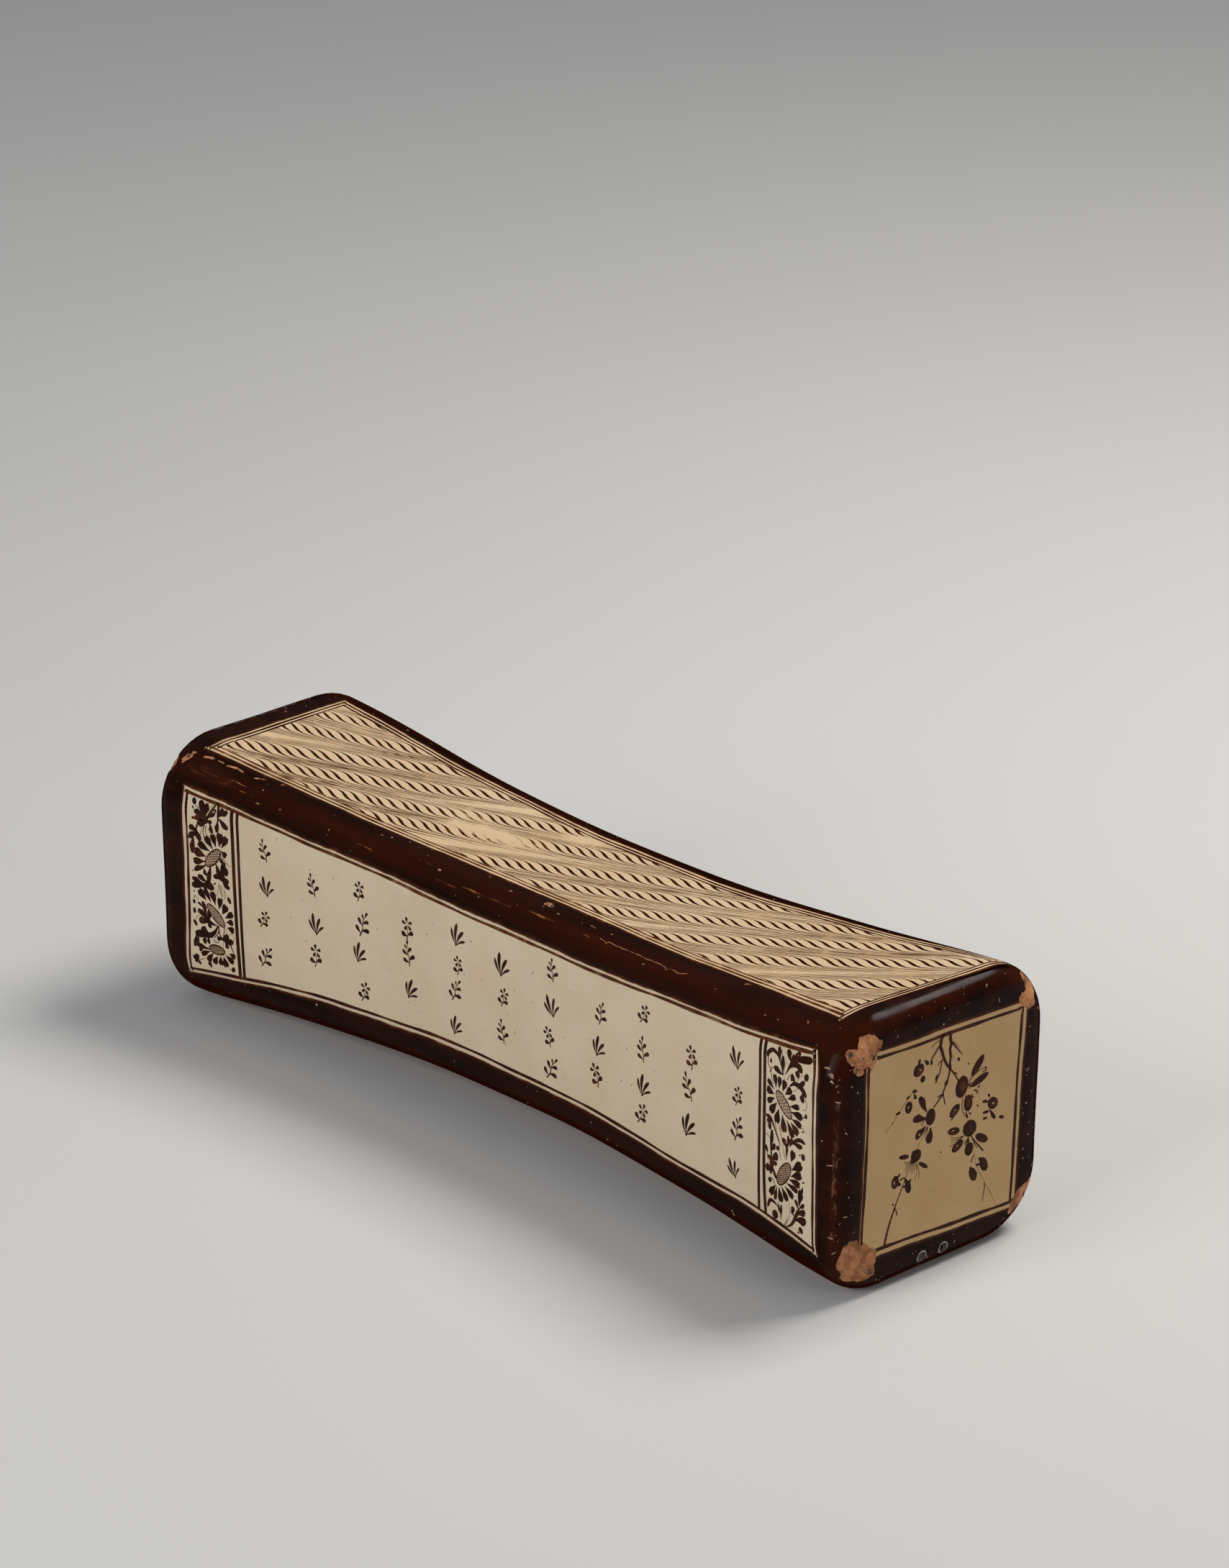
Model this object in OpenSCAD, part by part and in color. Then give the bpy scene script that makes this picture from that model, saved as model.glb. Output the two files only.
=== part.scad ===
// Slab-built stoneware pillow: a long hollow box whose four long sides draw in towards the
// middle, with rounded edges, painted slip panels and a brown glaze border.
// X runs along the length, the front wall faces -Y, the headrest is up (+Z), and the origin
// lies on the resting plane under the middle of the base. Millimetres and degrees.

/* [Pillow] */
// Length from end to end, at the top
pillow_length = 420; // [340:1:500]
// Width across the two ends
end_width = 120; // [104:1:150]
// Height of the two ends above the resting plane
end_height = 120; // [104:1:150]
// Draw-in of each long wall at mid length
waist_depth = 14; // [0:0.5:18]
// Dip of the headrest at mid length
headrest_dip = 12; // [0:0.5:18]
// Rise of the base arch at mid length
base_rise = 13; // [6:0.5:18]
// Power of the waist, dip and arch curves along the length
curve_power = 2.3; // [1.8:0.1:3]
// Lean of each end, from its top in to its foot
end_lean = 2.5; // [0:0.5:5]

/* [Rounded edges] */
// Radius along the four long edges at mid length
long_edge_radius = 16; // [11:0.5:22]
// Radius of the long edges where they reach the ends
end_corner_radius = 30; // [24:0.5:34]
// Radius of the edges around each end face
end_edge_radius = 10; // [9.5:0.5:12]
// Power of the swelling of the long edges towards the ends
corner_power = 6; // [3:0.5:9]

/* [Clay] */
// Thickness of the walls, coat included
wall = 8.5; // [6:0.5:9]
// Leg of the clay coils that lute the seams inside
coil_leg = 9; // [5:0.5:12]
// Clearance of the coils over the slabs
coil_gap = 0.1; // [0.05:0.05:0.3]
// Depth worn off under the two ends, which leaves two flat feet
foot_wear = 0.8; // [0.4:0.1:1]
// Diameter of the air vent in the base
vent_bore = 6; // [3:0.5:10]
// Distance of the air vent from mid length
vent_offset = 60; // [0:1:120]

/* [Slip and glaze] */
// Thickness of the fired slip and glaze
coat = 0.6; // [0.3:0.1:1]
// Brown border of the front and back panels under the headrest edge
wall_border_top = 12.5; // [12:0.5:20]
// Brown border of the front and back panels above the base edge
wall_border_foot = 17.5; // [12:0.5:22]
// Brown border of the headrest panel on the front side
headrest_border_front = 14.5; // [12:0.5:20]
// Brown border of the headrest panel on the back side
headrest_border_back = 16; // [12:0.5:20]
// Brown border of the three long panels at each end
long_panel_end_border = 15; // [12.5:0.5:25]
// Brown border of the end panels on the front side
end_border_front = 15; // [12:0.5:24]
// Brown border of the end panels on the back side
end_border_back = 15; // [12:0.5:24]
// Brown border of the end panels at the top
end_border_top = 14.5; // [12:0.5:24]
// Brown border of the end panels at the foot
end_border_foot = 13.5; // [12:0.5:24]
// Glaze turned under the base along its edges
base_border = 14; // [12:0.5:20]

/* [Sample plugs] */
// Diameter of the two filled holes in the right end
plug_bore = 4.4; // [2:0.2:6]
// Depth of the filled holes from the end's flat face
plug_depth = 6; // [4:0.5:8]
// Distance between the two holes
plug_spacing = 12; // [7:0.5:20]
// Place of the pair across the end, towards the back
plug_offset = -3; // [-12:0.5:12]
// Height of the two holes
plug_height = 7.5; // [5:0.5:9]
// Hollow left in front of each filling
plug_recess = 0.3; // [0:0.1:0.6]

/* [Hidden] */

CLAY = "#b98a5c";
GLAZE = "#2b1712";
SLIP = "#e2d6bb";
FILLER = "#8d8273";

half_length = pillow_length / 2;
rounding_start = half_length - end_edge_radius;
panel_end = half_length - long_panel_end_border;
// Share of a radius that lies between a corner and the middle of its quarter round
corner_cut = 1 - sqrt(0.5);

// Waist, dip, arch and edge radius along the length

function reach(x) = min(abs(x) / rounding_start, 1);
function bow(x) = 1 - pow(reach(x), curve_power);
function half_width(x) = end_width / 2 - waist_depth * bow(x);
function top_z(x) = end_height - headrest_dip * bow(x);
function base_z(x) = base_rise * bow(x) - foot_wear;
function edge_radius(x) =
  long_edge_radius + (end_corner_radius - long_edge_radius) * pow(reach(x), corner_power);
// The ends lean in towards the foot
function leaned(p) =
  [p.x * (1 - end_lean / half_length * (end_height - p.z) / end_height), p.y, p.z];

// The cross-section: four faces, walked up the front, over the top, down the back, under the base

FRONT = 0;
TOP = 1;
BACK = 2;
BASE = 3;
borders = [
  [wall_border_foot, wall_border_top],
  [headrest_border_front, headrest_border_back],
  [wall_border_top, wall_border_foot],
  [base_border, base_border]
];

// Start corner, direction, outward normal and length of a face of the section, as (y, z)
function face(side, x, inset) =
  let (a = half_width(x) - inset, hi = top_z(x) - inset, lo = base_z(x) + inset)
  side == FRONT ? [[-a, lo], [0, 1], [-1, 0], hi - lo] :
  side == TOP ? [[-a, hi], [1, 0], [0, 1], 2 * a] :
  side == BACK ? [[a, hi], [0, -1], [1, 0], hi - lo] :
  [[a, lo], [-1, 0], [0, -1], 2 * a];

function round_drop(r, t) = t < r ? r - sqrt(r * r - (r - t) * (r - t)) : 0;
function round_tilt(r, t) = t < r ? asin((r - t) / r) : 0;

// Point and outward normal of the section at a distance t along a face
function face_point(x, inset, side, t) =
  let (
    f = face(side, x, inset),
    r = edge_radius(x) - inset,
    near = min(t, f[3] - t),
    tilt = round_tilt(r, near),
    towards = t < f[3] / 2 ? -1 : 1
  )
  [f[0] + f[1] * t - f[2] * round_drop(r, near), f[2] * cos(tilt) + f[1] * towards * sin(tilt)];

// Columns across each face: from the middle of the rounded edge over the border, into the panel

border_shares = [0, 0.35, 0.7, 1];
panel_steps = [6, 15];
half_columns = len(border_shares) + len(panel_steps);
columns = 2 * half_columns - 1;
ring = 4 * columns;
panel_column = len(border_shares) - 1;
bare_column = panel_column + 1;

function from_edge(j, r, border) =
  j <= panel_column ? corner_cut * r + (border - corner_cut * r) * border_shares[j]
  : border + panel_steps[j - bare_column];
function column_place(x, inset, side, j) =
  let (r = edge_radius(x) - inset)
  j < half_columns ? from_edge(j, r, borders[side][0])
  : face(side, x, inset)[3] - from_edge(columns - j, r, borders[side][1]);

// Rows along the pillow: the long faces, the rounding and the two end caps

length_steps = 9;
length_ease = 0.75;
turns = [0, 25, 45];
// Share of the way from the rounded rim to the end panel, then to the panel's centre
cap_steps = [[1 / 3, 0], [2 / 3, 0], [1, 0], [1, 0.2], [1, 1]];
frame_step = 3;

half_rows = concat(
  [for (u = [1:length_steps]) [panel_end * pow(u / length_steps, length_ease), 0]],
  [for (turn = turns) [rounding_start + end_edge_radius * sin(turn), turn]]
);
half_count = len(half_rows);
cap_count = len(cap_steps);
rows = concat(
  [for (c = [cap_count - 1:-1:0]) [-1, cap_steps[c][0], cap_steps[c][1]]],
  [for (h = [half_count - 1:-1:0]) [-half_rows[h][0], half_rows[h][1]]],
  [[0, 0]],
  half_rows,
  [for (c = cap_steps) [1, c[0], c[1]]]
);
last_row = len(rows) - 1;
middle_row = last_row / 2;
left_rim = cap_count;
right_rim = last_row - cap_count;

// Point and normal on the long faces and on the first half of the end rounding
function tube_point(x, turn, side, j) =
  let (
    inset = end_edge_radius * (1 - cos(turn)),
    s = face_point(x, inset, side, column_place(x, inset, side, j))
  )
  [concat([x], s[0]), concat([sign(x) * sin(turn)], cos(turn) * s[1])];

// The end panel's outline, from the column's share of the rim's face
panel_low = [end_border_front - end_width / 2, end_border_foot];
panel_high = [end_width / 2 - end_border_back, end_height - end_border_top];
panel_corners = [
  panel_low, [panel_low.x, panel_high.y], panel_high, [panel_high.x, panel_low.y], panel_low
];
panel_centre = (panel_low + panel_high) / 2;

// Depth of a point of the end inside its rounded outline, and the way out to that outline
end_middle = [0, (end_height - foot_wear) / 2];
end_core = [end_width / 2, (end_height + foot_wear) / 2] - [end_corner_radius, end_corner_radius];
function past_core(p) = [for (a = [0, 1]) abs(p[a] - end_middle[a]) - end_core[a]];
function rim_depth(p) =
  let (q = past_core(p))
  end_corner_radius - norm([max(q.x, 0), max(q.y, 0)]) - min(max(q.x, q.y), 0);
function way_out(p) =
  let (
    q = past_core(p),
    w = min(q.x, q.y) > 0 ? q / norm(q) : q.x > q.y ? [1, 0] : [0, 1]
  )
  [for (a = [0, 1]) w[a] * sign(p[a] - end_middle[a])];

// Point and normal on an end, out to the middle of its rounded rim
function cap_point(hand, share, pull, side, j) =
  let (
    x = rounding_start + end_edge_radius * sin(turns[2]),
    inset = end_edge_radius * (1 - cos(turns[2])),
    t = column_place(x, inset, side, j),
    cut = corner_cut * (edge_radius(x) - inset),
    along = (t - cut) / (face(side, x, inset)[3] - 2 * cut),
    rim = face_point(x, inset, side, t)[0],
    frame = panel_corners[side] + (panel_corners[side + 1] - panel_corners[side]) * along,
    p = rim + (frame - rim) * share,
    place = p + (panel_centre - p) * pull,
    c = max(0, 1 - rim_depth(place) / end_edge_radius),
    s = sqrt(1 - c * c)
  )
  [concat([hand * (half_length - end_edge_radius * (1 - s))], place),
   concat([hand * s], c * way_out(place))];

function grid_point(row, side, j) =
  len(row) == 2 ? tube_point(row[0], row[1], side, j)
  : cap_point(row[0], row[1], row[2], side, j);

// The bare underside is the part of the base inside its glazed border
function is_bare(i, side, j) =
  side == BASE && i > left_rim && i < right_rim && j >= bare_column && j <= columns - bare_column;

// All points of the surface, set in by a depth
function skin(depth, bare_depth) = [
  for (i = [0:last_row]) [
    for (side = [FRONT:BASE]) for (j = [0:columns - 1])
      let (s = grid_point(rows[i], side, j))
      leaned(s[0] - s[1] * (is_bare(i, side, j) ? bare_depth : depth))
  ]
];

fired_skin = skin(0, 0);
clay_skin = skin(coat, 0);
inner_skin = skin(wall, wall);

// Which cells of the surface belong to which piece

function side_of(k) = floor(k / columns);
function in_tube(i) = i >= left_rim && i < right_rim;
function in_slab(side) = function (i, k) in_tube(i) && side_of(k) == side;
function in_long_panel(side) = function (i, k)
  side_of(k) == side
  && abs(i + 0.5 - middle_row) < length_steps
  && abs(k % columns + 0.5 - columns / 2) < columns / 2 - panel_column;
function in_left_panel(i) = i < left_rim - frame_step;
function in_right_panel(i) = i >= right_rim + frame_step;
function in_bare_base(i, k) =
  is_bare(i, side_of(k), k % columns) && is_bare(i + 1, side_of(k), k % columns + 1);
function in_panels(i, k) =
  in_left_panel(i) || in_right_panel(i) || in_long_panel(FRONT)(i, k)
  || in_long_panel(TOP)(i, k) || in_long_panel(BACK)(i, k);

// A closed piece between two skins, over the cells that belong to it
module shell(outer, inner, has) {
  points = concat([for (r = outer) each r], [for (r = inner) each r]);
  under = len(points) / 2;
  function at(i, k) = i == 0 || i == last_row ? i * ring : i * ring + k % ring;
  cells = [for (i = [0:last_row - 1]) for (k = [0:ring - 1]) if (has(i, k)) [i, k]];
  corners = [for (c = cells) let (i = c[0], k = c[1])
    [at(i, k), at(i + 1, k), at(i + 1, k + 1), at(i, k + 1)]];
  over = [for (q = corners) each [[q[0], q[3], q[2]], [q[0], q[2], q[1]]]];
  sheet = [for (t = over) if (t[0] != t[1] && t[1] != t[2]) t];
  edges = [for (n = [0:len(cells) - 1]) let (i = cells[n][0], k = cells[n][1], q = corners[n]) each [
    if (!has(i, (k + ring - 1) % ring)) [q[0], q[1]],
    if (!has(i + 1, k)) [q[1], q[2]],
    if (!has(i, (k + 1) % ring)) [q[2], q[3]],
    if (!has(i - 1, k)) [q[3], q[0]]
  ]];
  open = [for (e = edges) if (e[0] != e[1] && points[e[0]] != points[e[0] + under]) e];
  sides = [for (e = open) let (p = e[0], q = e[1]) each p < q
    ? [[p, q, q + under], [p, q + under, p + under]]
    : [[p, q, p + under], [q, q + under, p + under]]];
  backs = [for (t = sheet) [t[0] + under, t[2] + under, t[1] + under]];
  polyhedron(points, concat(sheet, backs, sides), convexity = 8);
}

// A piece lofted through loops of points, with flat ends or closed in a ring
module loft(loops, is_ring = false) {
  n = len(loops[0]);
  count = len(loops);
  function at(i, k) = (i % count) * n + k % n;
  sides = [for (i = [0:count - (is_ring ? 1 : 2)]) for (k = [0:n - 1]) each [
    [at(i, k), at(i, k + 1), at(i + 1, k + 1)], [at(i, k), at(i + 1, k + 1), at(i + 1, k)]
  ]];
  caps = is_ring ? [] : [
    [for (k = [n - 1:-1:0]) at(0, k)], [for (k = [0:n - 1]) at(count - 1, k)]
  ];
  polyhedron([for (l = loops) each l], concat(sides, caps), convexity = 8);
}

// Everything below the resting plane, worn off the feet
module worn_off() {
  translate([-pillow_length, -end_width, -end_height])
    cube([2 * pillow_length, 2 * end_width, end_height]);
}

// The two filled holes, from a depth inside the end out to a face
module plug_holes(out) {
  for (hand = [-1, 1])
    translate([half_length - plug_depth, plug_offset + hand * plug_spacing / 2, plug_height])
      rotate([0, 90, 0]) cylinder(d = plug_bore, h = plug_depth + out, $fn = 48);
}

// Clay slabs

module top_slab() color(CLAY) shell(clay_skin, inner_skin, in_slab(TOP));
module front_wall() color(CLAY) shell(clay_skin, inner_skin, in_slab(FRONT));
module back_wall() color(CLAY) shell(clay_skin, inner_skin, in_slab(BACK));
module base_slab() color(CLAY) difference() {
  shell(clay_skin, inner_skin, in_slab(BASE));
  worn_off();
  translate([vent_offset, 0, 0]) cylinder(d = vent_bore, h = end_height / 2, $fn = 48);
}
module left_end() color(CLAY) shell(clay_skin, inner_skin, function (i, k) i < left_rim);
module right_end() color(CLAY) difference() {
  shell(clay_skin, inner_skin, function (i, k) i >= right_rim);
  plug_holes(end_edge_radius);
}

// Fired coats: one brown glaze over all edges, and five pale slip panels

module edge_glaze() color(GLAZE) difference() {
  shell(fired_skin, clay_skin, function (i, k)
    i >= 0 && i < last_row && !in_panels(i, k) && !in_bare_base(i, k));
  worn_off();
  plug_holes(end_edge_radius);
}
module top_slip_panel() color(SLIP) shell(fired_skin, clay_skin, in_long_panel(TOP));
module front_slip_panel() color(SLIP) shell(fired_skin, clay_skin, in_long_panel(FRONT));
module back_slip_panel() color(SLIP) shell(fired_skin, clay_skin, in_long_panel(BACK));
module left_end_slip_panel() color(SLIP)
  shell(fired_skin, clay_skin, function (i, k) in_left_panel(i));
module right_end_slip_panel() color(SLIP)
  shell(fired_skin, clay_skin, function (i, k) in_right_panel(i));

// Clay coils pressed into the seams from inside

coil_depth = wall + coil_gap;
coil_reach = wall + coil_leg;
coil_end = half_length - coil_reach - end_lean - coil_gap;
coil_shares = [0, 0.3, 0.6, 1];

function set_in(x, s) = leaned(concat([x], s[0] - s[1] * coil_depth));

// Coil along the long seam between a face and the next one
module long_seam_coil(side) {
  next = (side + 1) % 4;
  inner_x = [for (row = rows) if (len(row) == 2 && abs(row[0]) < coil_end) row[0]];
  loft([for (x = concat([-coil_end], inner_x, [coil_end]))
    let (
      cut = corner_cut * edge_radius(x),
      width = face(side, x, 0)[3],
      d = [for (share = coil_shares) cut + (coil_reach - cut) * share]
    )
    concat(
      [for (n = [len(d) - 1:-1:1]) set_in(x, face_point(x, 0, side, width - d[n]))],
      [for (n = [0:len(d) - 1]) set_in(x, face_point(x, 0, next, d[n]))]
    )
  ]);
}

// Coil around the seam between the long slabs and an end
module end_seam_coil(hand) {
  wall_x = half_length - coil_reach;
  stops = [[wall_x, 0], [rounding_start, 0], [half_length, 90]];
  function stop_point(s, side, j) =
    let (p = tube_point(hand * s[0], s[1], side, j)) leaned(p[0] - p[1] * coil_depth);
  function end_point(side, j) =
    let (p = face_point(half_length, coil_reach, side, column_place(half_length, coil_reach, side, j)))
    leaned(concat([hand * (half_length - coil_depth)], p[0]));
  path = [
    for (s = stops) [for (side = [FRONT:BASE]) for (j = [0:columns - 1]) stop_point(s, side, j)],
    [for (side = [FRONT:BASE]) for (j = [0:columns - 1]) end_point(side, j)]
  ];
  loft(hand > 0 ? path : [for (n = [len(path) - 1:-1:0]) path[n]], is_ring = true);
}

module front_top_seam_coil() color(CLAY) long_seam_coil(FRONT);
module back_top_seam_coil() color(CLAY) long_seam_coil(TOP);
module back_base_seam_coil() color(CLAY) long_seam_coil(BACK);
module front_base_seam_coil() color(CLAY) long_seam_coil(BASE);
module left_end_seam_coil() color(CLAY) end_seam_coil(-1);
module right_end_seam_coil() color(CLAY) end_seam_coil(1);

// Fillings of the two small holes, a little below the leaning end face
module sample_plugs() color(FILLER)
  plug_holes(-end_lean * (end_height - plug_height) / end_height - plug_recess);

top_slab();
base_slab();
front_wall();
back_wall();
left_end();
right_end();
edge_glaze();
top_slip_panel();
front_slip_panel();
back_slip_panel();
left_end_slip_panel();
right_end_slip_panel();
front_top_seam_coil();
back_top_seam_coil();
front_base_seam_coil();
back_base_seam_coil();
left_end_seam_coil();
right_end_seam_coil();
sample_plugs();
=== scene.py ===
# Ceramic pillow: a waisted, slab-built stoneware headrest with ivory slip panels painted in iron brown,
# inside borders of dark glaze. Metres, in the part's own frame: +X right end, -Y front, +Z up.
import math

import bmesh
import bpy
import numpy as np
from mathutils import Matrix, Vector, noise


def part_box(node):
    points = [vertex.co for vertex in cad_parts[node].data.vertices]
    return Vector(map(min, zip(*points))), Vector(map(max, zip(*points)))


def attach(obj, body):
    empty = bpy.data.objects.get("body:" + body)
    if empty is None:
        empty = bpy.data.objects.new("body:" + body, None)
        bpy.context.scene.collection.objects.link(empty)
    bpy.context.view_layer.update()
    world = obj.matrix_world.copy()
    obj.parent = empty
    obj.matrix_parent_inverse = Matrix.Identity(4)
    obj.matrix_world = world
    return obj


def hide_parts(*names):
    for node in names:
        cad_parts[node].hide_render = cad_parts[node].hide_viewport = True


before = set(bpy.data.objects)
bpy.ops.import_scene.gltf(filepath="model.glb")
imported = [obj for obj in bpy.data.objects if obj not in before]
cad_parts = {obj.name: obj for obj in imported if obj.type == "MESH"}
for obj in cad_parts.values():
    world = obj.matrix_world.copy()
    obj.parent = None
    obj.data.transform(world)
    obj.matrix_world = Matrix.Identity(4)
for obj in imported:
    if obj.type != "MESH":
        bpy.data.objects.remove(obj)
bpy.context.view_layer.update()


# Clay body
# Six stoneware slabs, luted at their mitred edges with clay coils pressed in from inside, and fired.
# The buff clay shows bare under the base and wherever the glaze has broken away.
def add_node(tree, kind, values=(), **settings):
    """Adds a node: a value that is a socket is linked to its input, any other fills it."""
    made = tree.nodes.new(kind)
    for name, setting in settings.items():
        setattr(made, name, setting)
    for place, value in dict(values).items():
        if isinstance(value, bpy.types.NodeSocket):
            tree.links.new(value, made.inputs[place])
        else:
            made.inputs[place].default_value = value
    return made


def grain(tree, where, scale, detail=4, roughness=0.6):
    """Fractal noise from 0 to 1."""
    values = {"Vector": where, "Scale": scale, "Detail": detail, "Roughness": roughness}
    return add_node(tree, "ShaderNodeTexNoise", values).outputs[0]


def between(tree, value, low, high, start=0.0, end=1.0):
    """A smooth step of a value from one level to another."""
    values = {0: value, 1: low, 2: high, 3: start, 4: end}
    return add_node(tree, "ShaderNodeMapRange", values, interpolation_type="SMOOTHSTEP").outputs[0]


def calc(tree, operation, *values):
    """Arithmetic on sockets and numbers."""
    return add_node(tree, "ShaderNodeMath", dict(enumerate(values)), operation=operation).outputs[0]


def blend(tree, share, first, second, mode="MIX"):
    """A share of the second colour over the first."""
    values = {0: share, 6: first, 7: second}
    return add_node(tree, "ShaderNodeMix", values, data_type="RGBA", blend_type=mode).outputs[2]


def new_material(name, roughness, shine=0.3):
    """An empty finish: its material, tree, shader and the object's own coordinates."""
    made = bpy.data.materials.new(name)
    made.use_nodes = True
    tree = made.node_tree
    shader = tree.nodes["Principled BSDF"]
    shader.inputs["Roughness"].default_value = roughness
    shader.inputs["Specular IOR Level"].default_value = shine
    return made, tree, shader, add_node(tree, "ShaderNodeTexCoord").outputs["Object"]


def set_relief(tree, shader, relief, depth, strength=1.0):
    """Relief of a finish, in metres, from a height of 0 to 1."""
    values = {"Height": relief, "Distance": depth, "Strength": strength}
    tree.links.new(add_node(tree, "ShaderNodeBump", values).outputs[0], shader.inputs["Normal"])


def clay_material():
    """Coarse buff clay with darker iron, pale grit, dark spots of painted shade for its pits, and a torn,
    open grain.
    """
    buff, burnt = (0.56, 0.245, 0.105, 1), (0.27, 0.098, 0.038, 1)
    grit, pit_shade = (0.66, 0.39, 0.23, 1), (0.045, 0.036, 0.034, 1)
    made, tree, shader, where = new_material("buff_clay", 0.9)
    clouds = between(tree, grain(tree, where, 170, 5), 0.36, 0.62)
    bits = between(tree, grain(tree, where, 600, 3), 0.56, 0.76, 0.0, 0.7)
    # Dark spots painted as the shade inside small pits of the clay.
    pit_shade_spots = between(tree, grain(tree, where, 190, 3), 0.58, 0.66)
    gritty = blend(tree, bits, blend(tree, clouds, burnt, buff), grit)
    tree.links.new(blend(tree, pit_shade_spots, gritty, pit_shade), shader.inputs["Base Color"])
    set_relief(tree, shader, grain(tree, where, 420, 6, 0.72), 0.0009)
    return made


def dress(node, material):
    """Gives a carried-over solid its finish."""
    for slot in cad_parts[node].material_slots:
        slot.material = material


clay = clay_material()
clay_nodes = ["top_slab", "base_slab", "front_wall", "back_wall", "left_end", "right_end"]
clay_nodes += [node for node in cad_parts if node.endswith("seam_coil")]
for node in clay_nodes:
    dress(node, clay)


# Sample plugs
# Two small holes drilled through the right end's foot border to test the clay, later stopped with filler.
# Dark grey-brown putty, smoothed a little below the glaze.
def filler_material(name, dull, rubbed):
    """Dull putty or bruised clay with rubbed lighter spots."""
    made, tree, shader, where = new_material(name, 0.75)
    spots = between(tree, grain(tree, where, 800, 4), 0.45, 0.70)
    tree.links.new(blend(tree, spots, dull, rubbed), shader.inputs["Base Color"])
    set_relief(tree, shader, grain(tree, where, 1500, 4), 0.0003)
    return made


dress("sample_plugs", filler_material("plug_filler", (0.050, 0.038, 0.029, 1), (0.12, 0.096, 0.076, 1)))


# Glazed edges
# One skin of thick iron-brown glaze over every edge, brushed up to the panels and stopped under the base.
# It is chipped to the clay at the corners, scuffed along its ridges, where the grey scuffs on the upright
# corners are also a painted highlight, and drilled at the two sample holes.
MM = 0.001
_, glaze_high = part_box("edge_glaze")
half_length = round(glaze_high.x, 3)
end_half_width = glaze_high.y
height = glaze_high.z
waist, dip, arch, foot_wear = 14 * MM, 12 * MM, 13 * MM, 0.8 * MM
bow_power, corner_power = 2.3, 6
edge_round, corner_round, end_round = 16 * MM, 30 * MM, 10 * MM
end_lean = 2.5 * MM
glaze_under_base = 13 * MM
foot_clearance = 0.1 * MM
glaze_thickness = 0.45 * MM
plug_low, plug_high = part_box("sample_plugs")
bore = plug_high.z - plug_low.z
plug_level = (plug_low.z + plug_high.z) / 2
plug_places = (plug_low.y + bore / 2, plug_high.y - bore / 2)
# Stands for a place that is nowhere near a chip
far_off = 9.0


def form_at(x):
    """Half width, top, base and edge radius of the pillow's cross-section at each x."""
    reach = np.minimum(np.abs(x) / (half_length - end_round), 1)
    bow = 1 - reach ** bow_power
    radius = edge_round + (corner_round - edge_round) * reach ** corner_power
    return end_half_width - waist * bow, height - dip * bow, arch * bow - foot_wear, radius


def rounded_off(radius, inside):
    """How far a rounded edge falls back, at a distance inside its corner."""
    short = np.clip(radius - inside, 0, radius)
    return radius - np.sqrt(radius ** 2 - short ** 2)


def lean(points):
    """Draws the ends in towards the foot."""
    points[..., 0] *= 1 - end_lean / half_length * (height - points[..., 2]) / height
    return points


def unevenness(points):
    """Slow swells of the hand-made surface, up to a third of a millimetre."""
    x, y, z = points[..., 0], points[..., 1], points[..., 2]
    swell = 0.15 * np.sin(38 * x + 1.3) * np.sin(47 * y + 30 * z + 0.4)
    return MM * (swell + 0.10 * np.sin(71 * x - 22 * z + 2.1) + 0.07 * np.sin(60 * x + 120 * y + 95 * z))


def ring_at(x, inset):
    """Points round the cross-section at x, set in by the rounding of the end."""
    arc_steps, face_steps, least_radius = 12, 22, 4 * MM
    width, top, base, radius = (float(value) for value in form_at(x))
    radius = max(radius - inset, least_radius)
    side, high, low = width - inset - radius, top - inset - radius, base + inset + radius
    centres = ((side, high), (-side, high), (-side, low), (side, low))
    arcs = []
    for quarter, (y, z) in enumerate(centres):
        turns = [math.radians(90 * (quarter + step / arc_steps)) for step in range(arc_steps + 1)]
        arcs.append([(y + radius * math.cos(turn), z + radius * math.sin(turn)) for turn in turns])
    ring = []
    for quarter, arc in enumerate(arcs):
        start, stop = np.array(arc[-1]), np.array(arcs[(quarter + 1) % 4][0])
        ring += arc
        ring += [tuple(start + (stop - start) * step / face_steps) for step in range(1, face_steps)]
    return [(x, y, z) for y, z in ring]


def new_mesh(name, points, faces, edges=(), **values):
    """A mesh of points, faces and loose edges, with the values that each point carries."""
    mesh = bpy.data.meshes.new(name)
    mesh.from_pydata([tuple(point) for point in points], list(edges), faces)
    for label, numbers in values.items():
        numbers = np.asarray(numbers, np.float32)
        mesh.attributes.new(label, "FLOAT", "POINT").data.foreach_set("value", numbers)
    return mesh


def skin_mesh():
    """The whole outside as rings along the pillow, closed over both ends."""
    tube_steps, turn_steps, cap_steps, cap_depth = 120, 9, 12, 48 * MM
    tube_end = half_length - end_round
    stops = [(tube_end * (2 * step / tube_steps - 1), 0) for step in range(tube_steps + 1)]
    turns = [math.radians(90 * (step + 1) / turn_steps) for step in range(turn_steps)]
    ends = [(tube_end + end_round * math.sin(turn), end_round * (1 - math.cos(turn))) for turn in turns]
    caps = np.linspace(end_round, cap_depth, cap_steps + 1)[1:]
    ends += [(half_length, inset) for inset in caps]
    stops = [(-x, inset) for x, inset in reversed(ends)] + stops + ends
    rings = lean(np.array([ring_at(x, inset) for x, inset in stops]))
    count = rings.shape[1]
    faces = []
    for row in range(len(stops) - 1):
        for place in range(count):
            after = (place + 1) % count
            near, far = row * count, (row + 1) * count
            faces.append((near + place, near + after, far + after, far + place))
    faces.append(tuple(range(count)))
    faces.append(tuple(reversed(range((len(stops) - 1) * count, len(stops) * count))))
    return new_mesh("glazed_edges", rings.reshape(-1, 3), faces)


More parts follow.
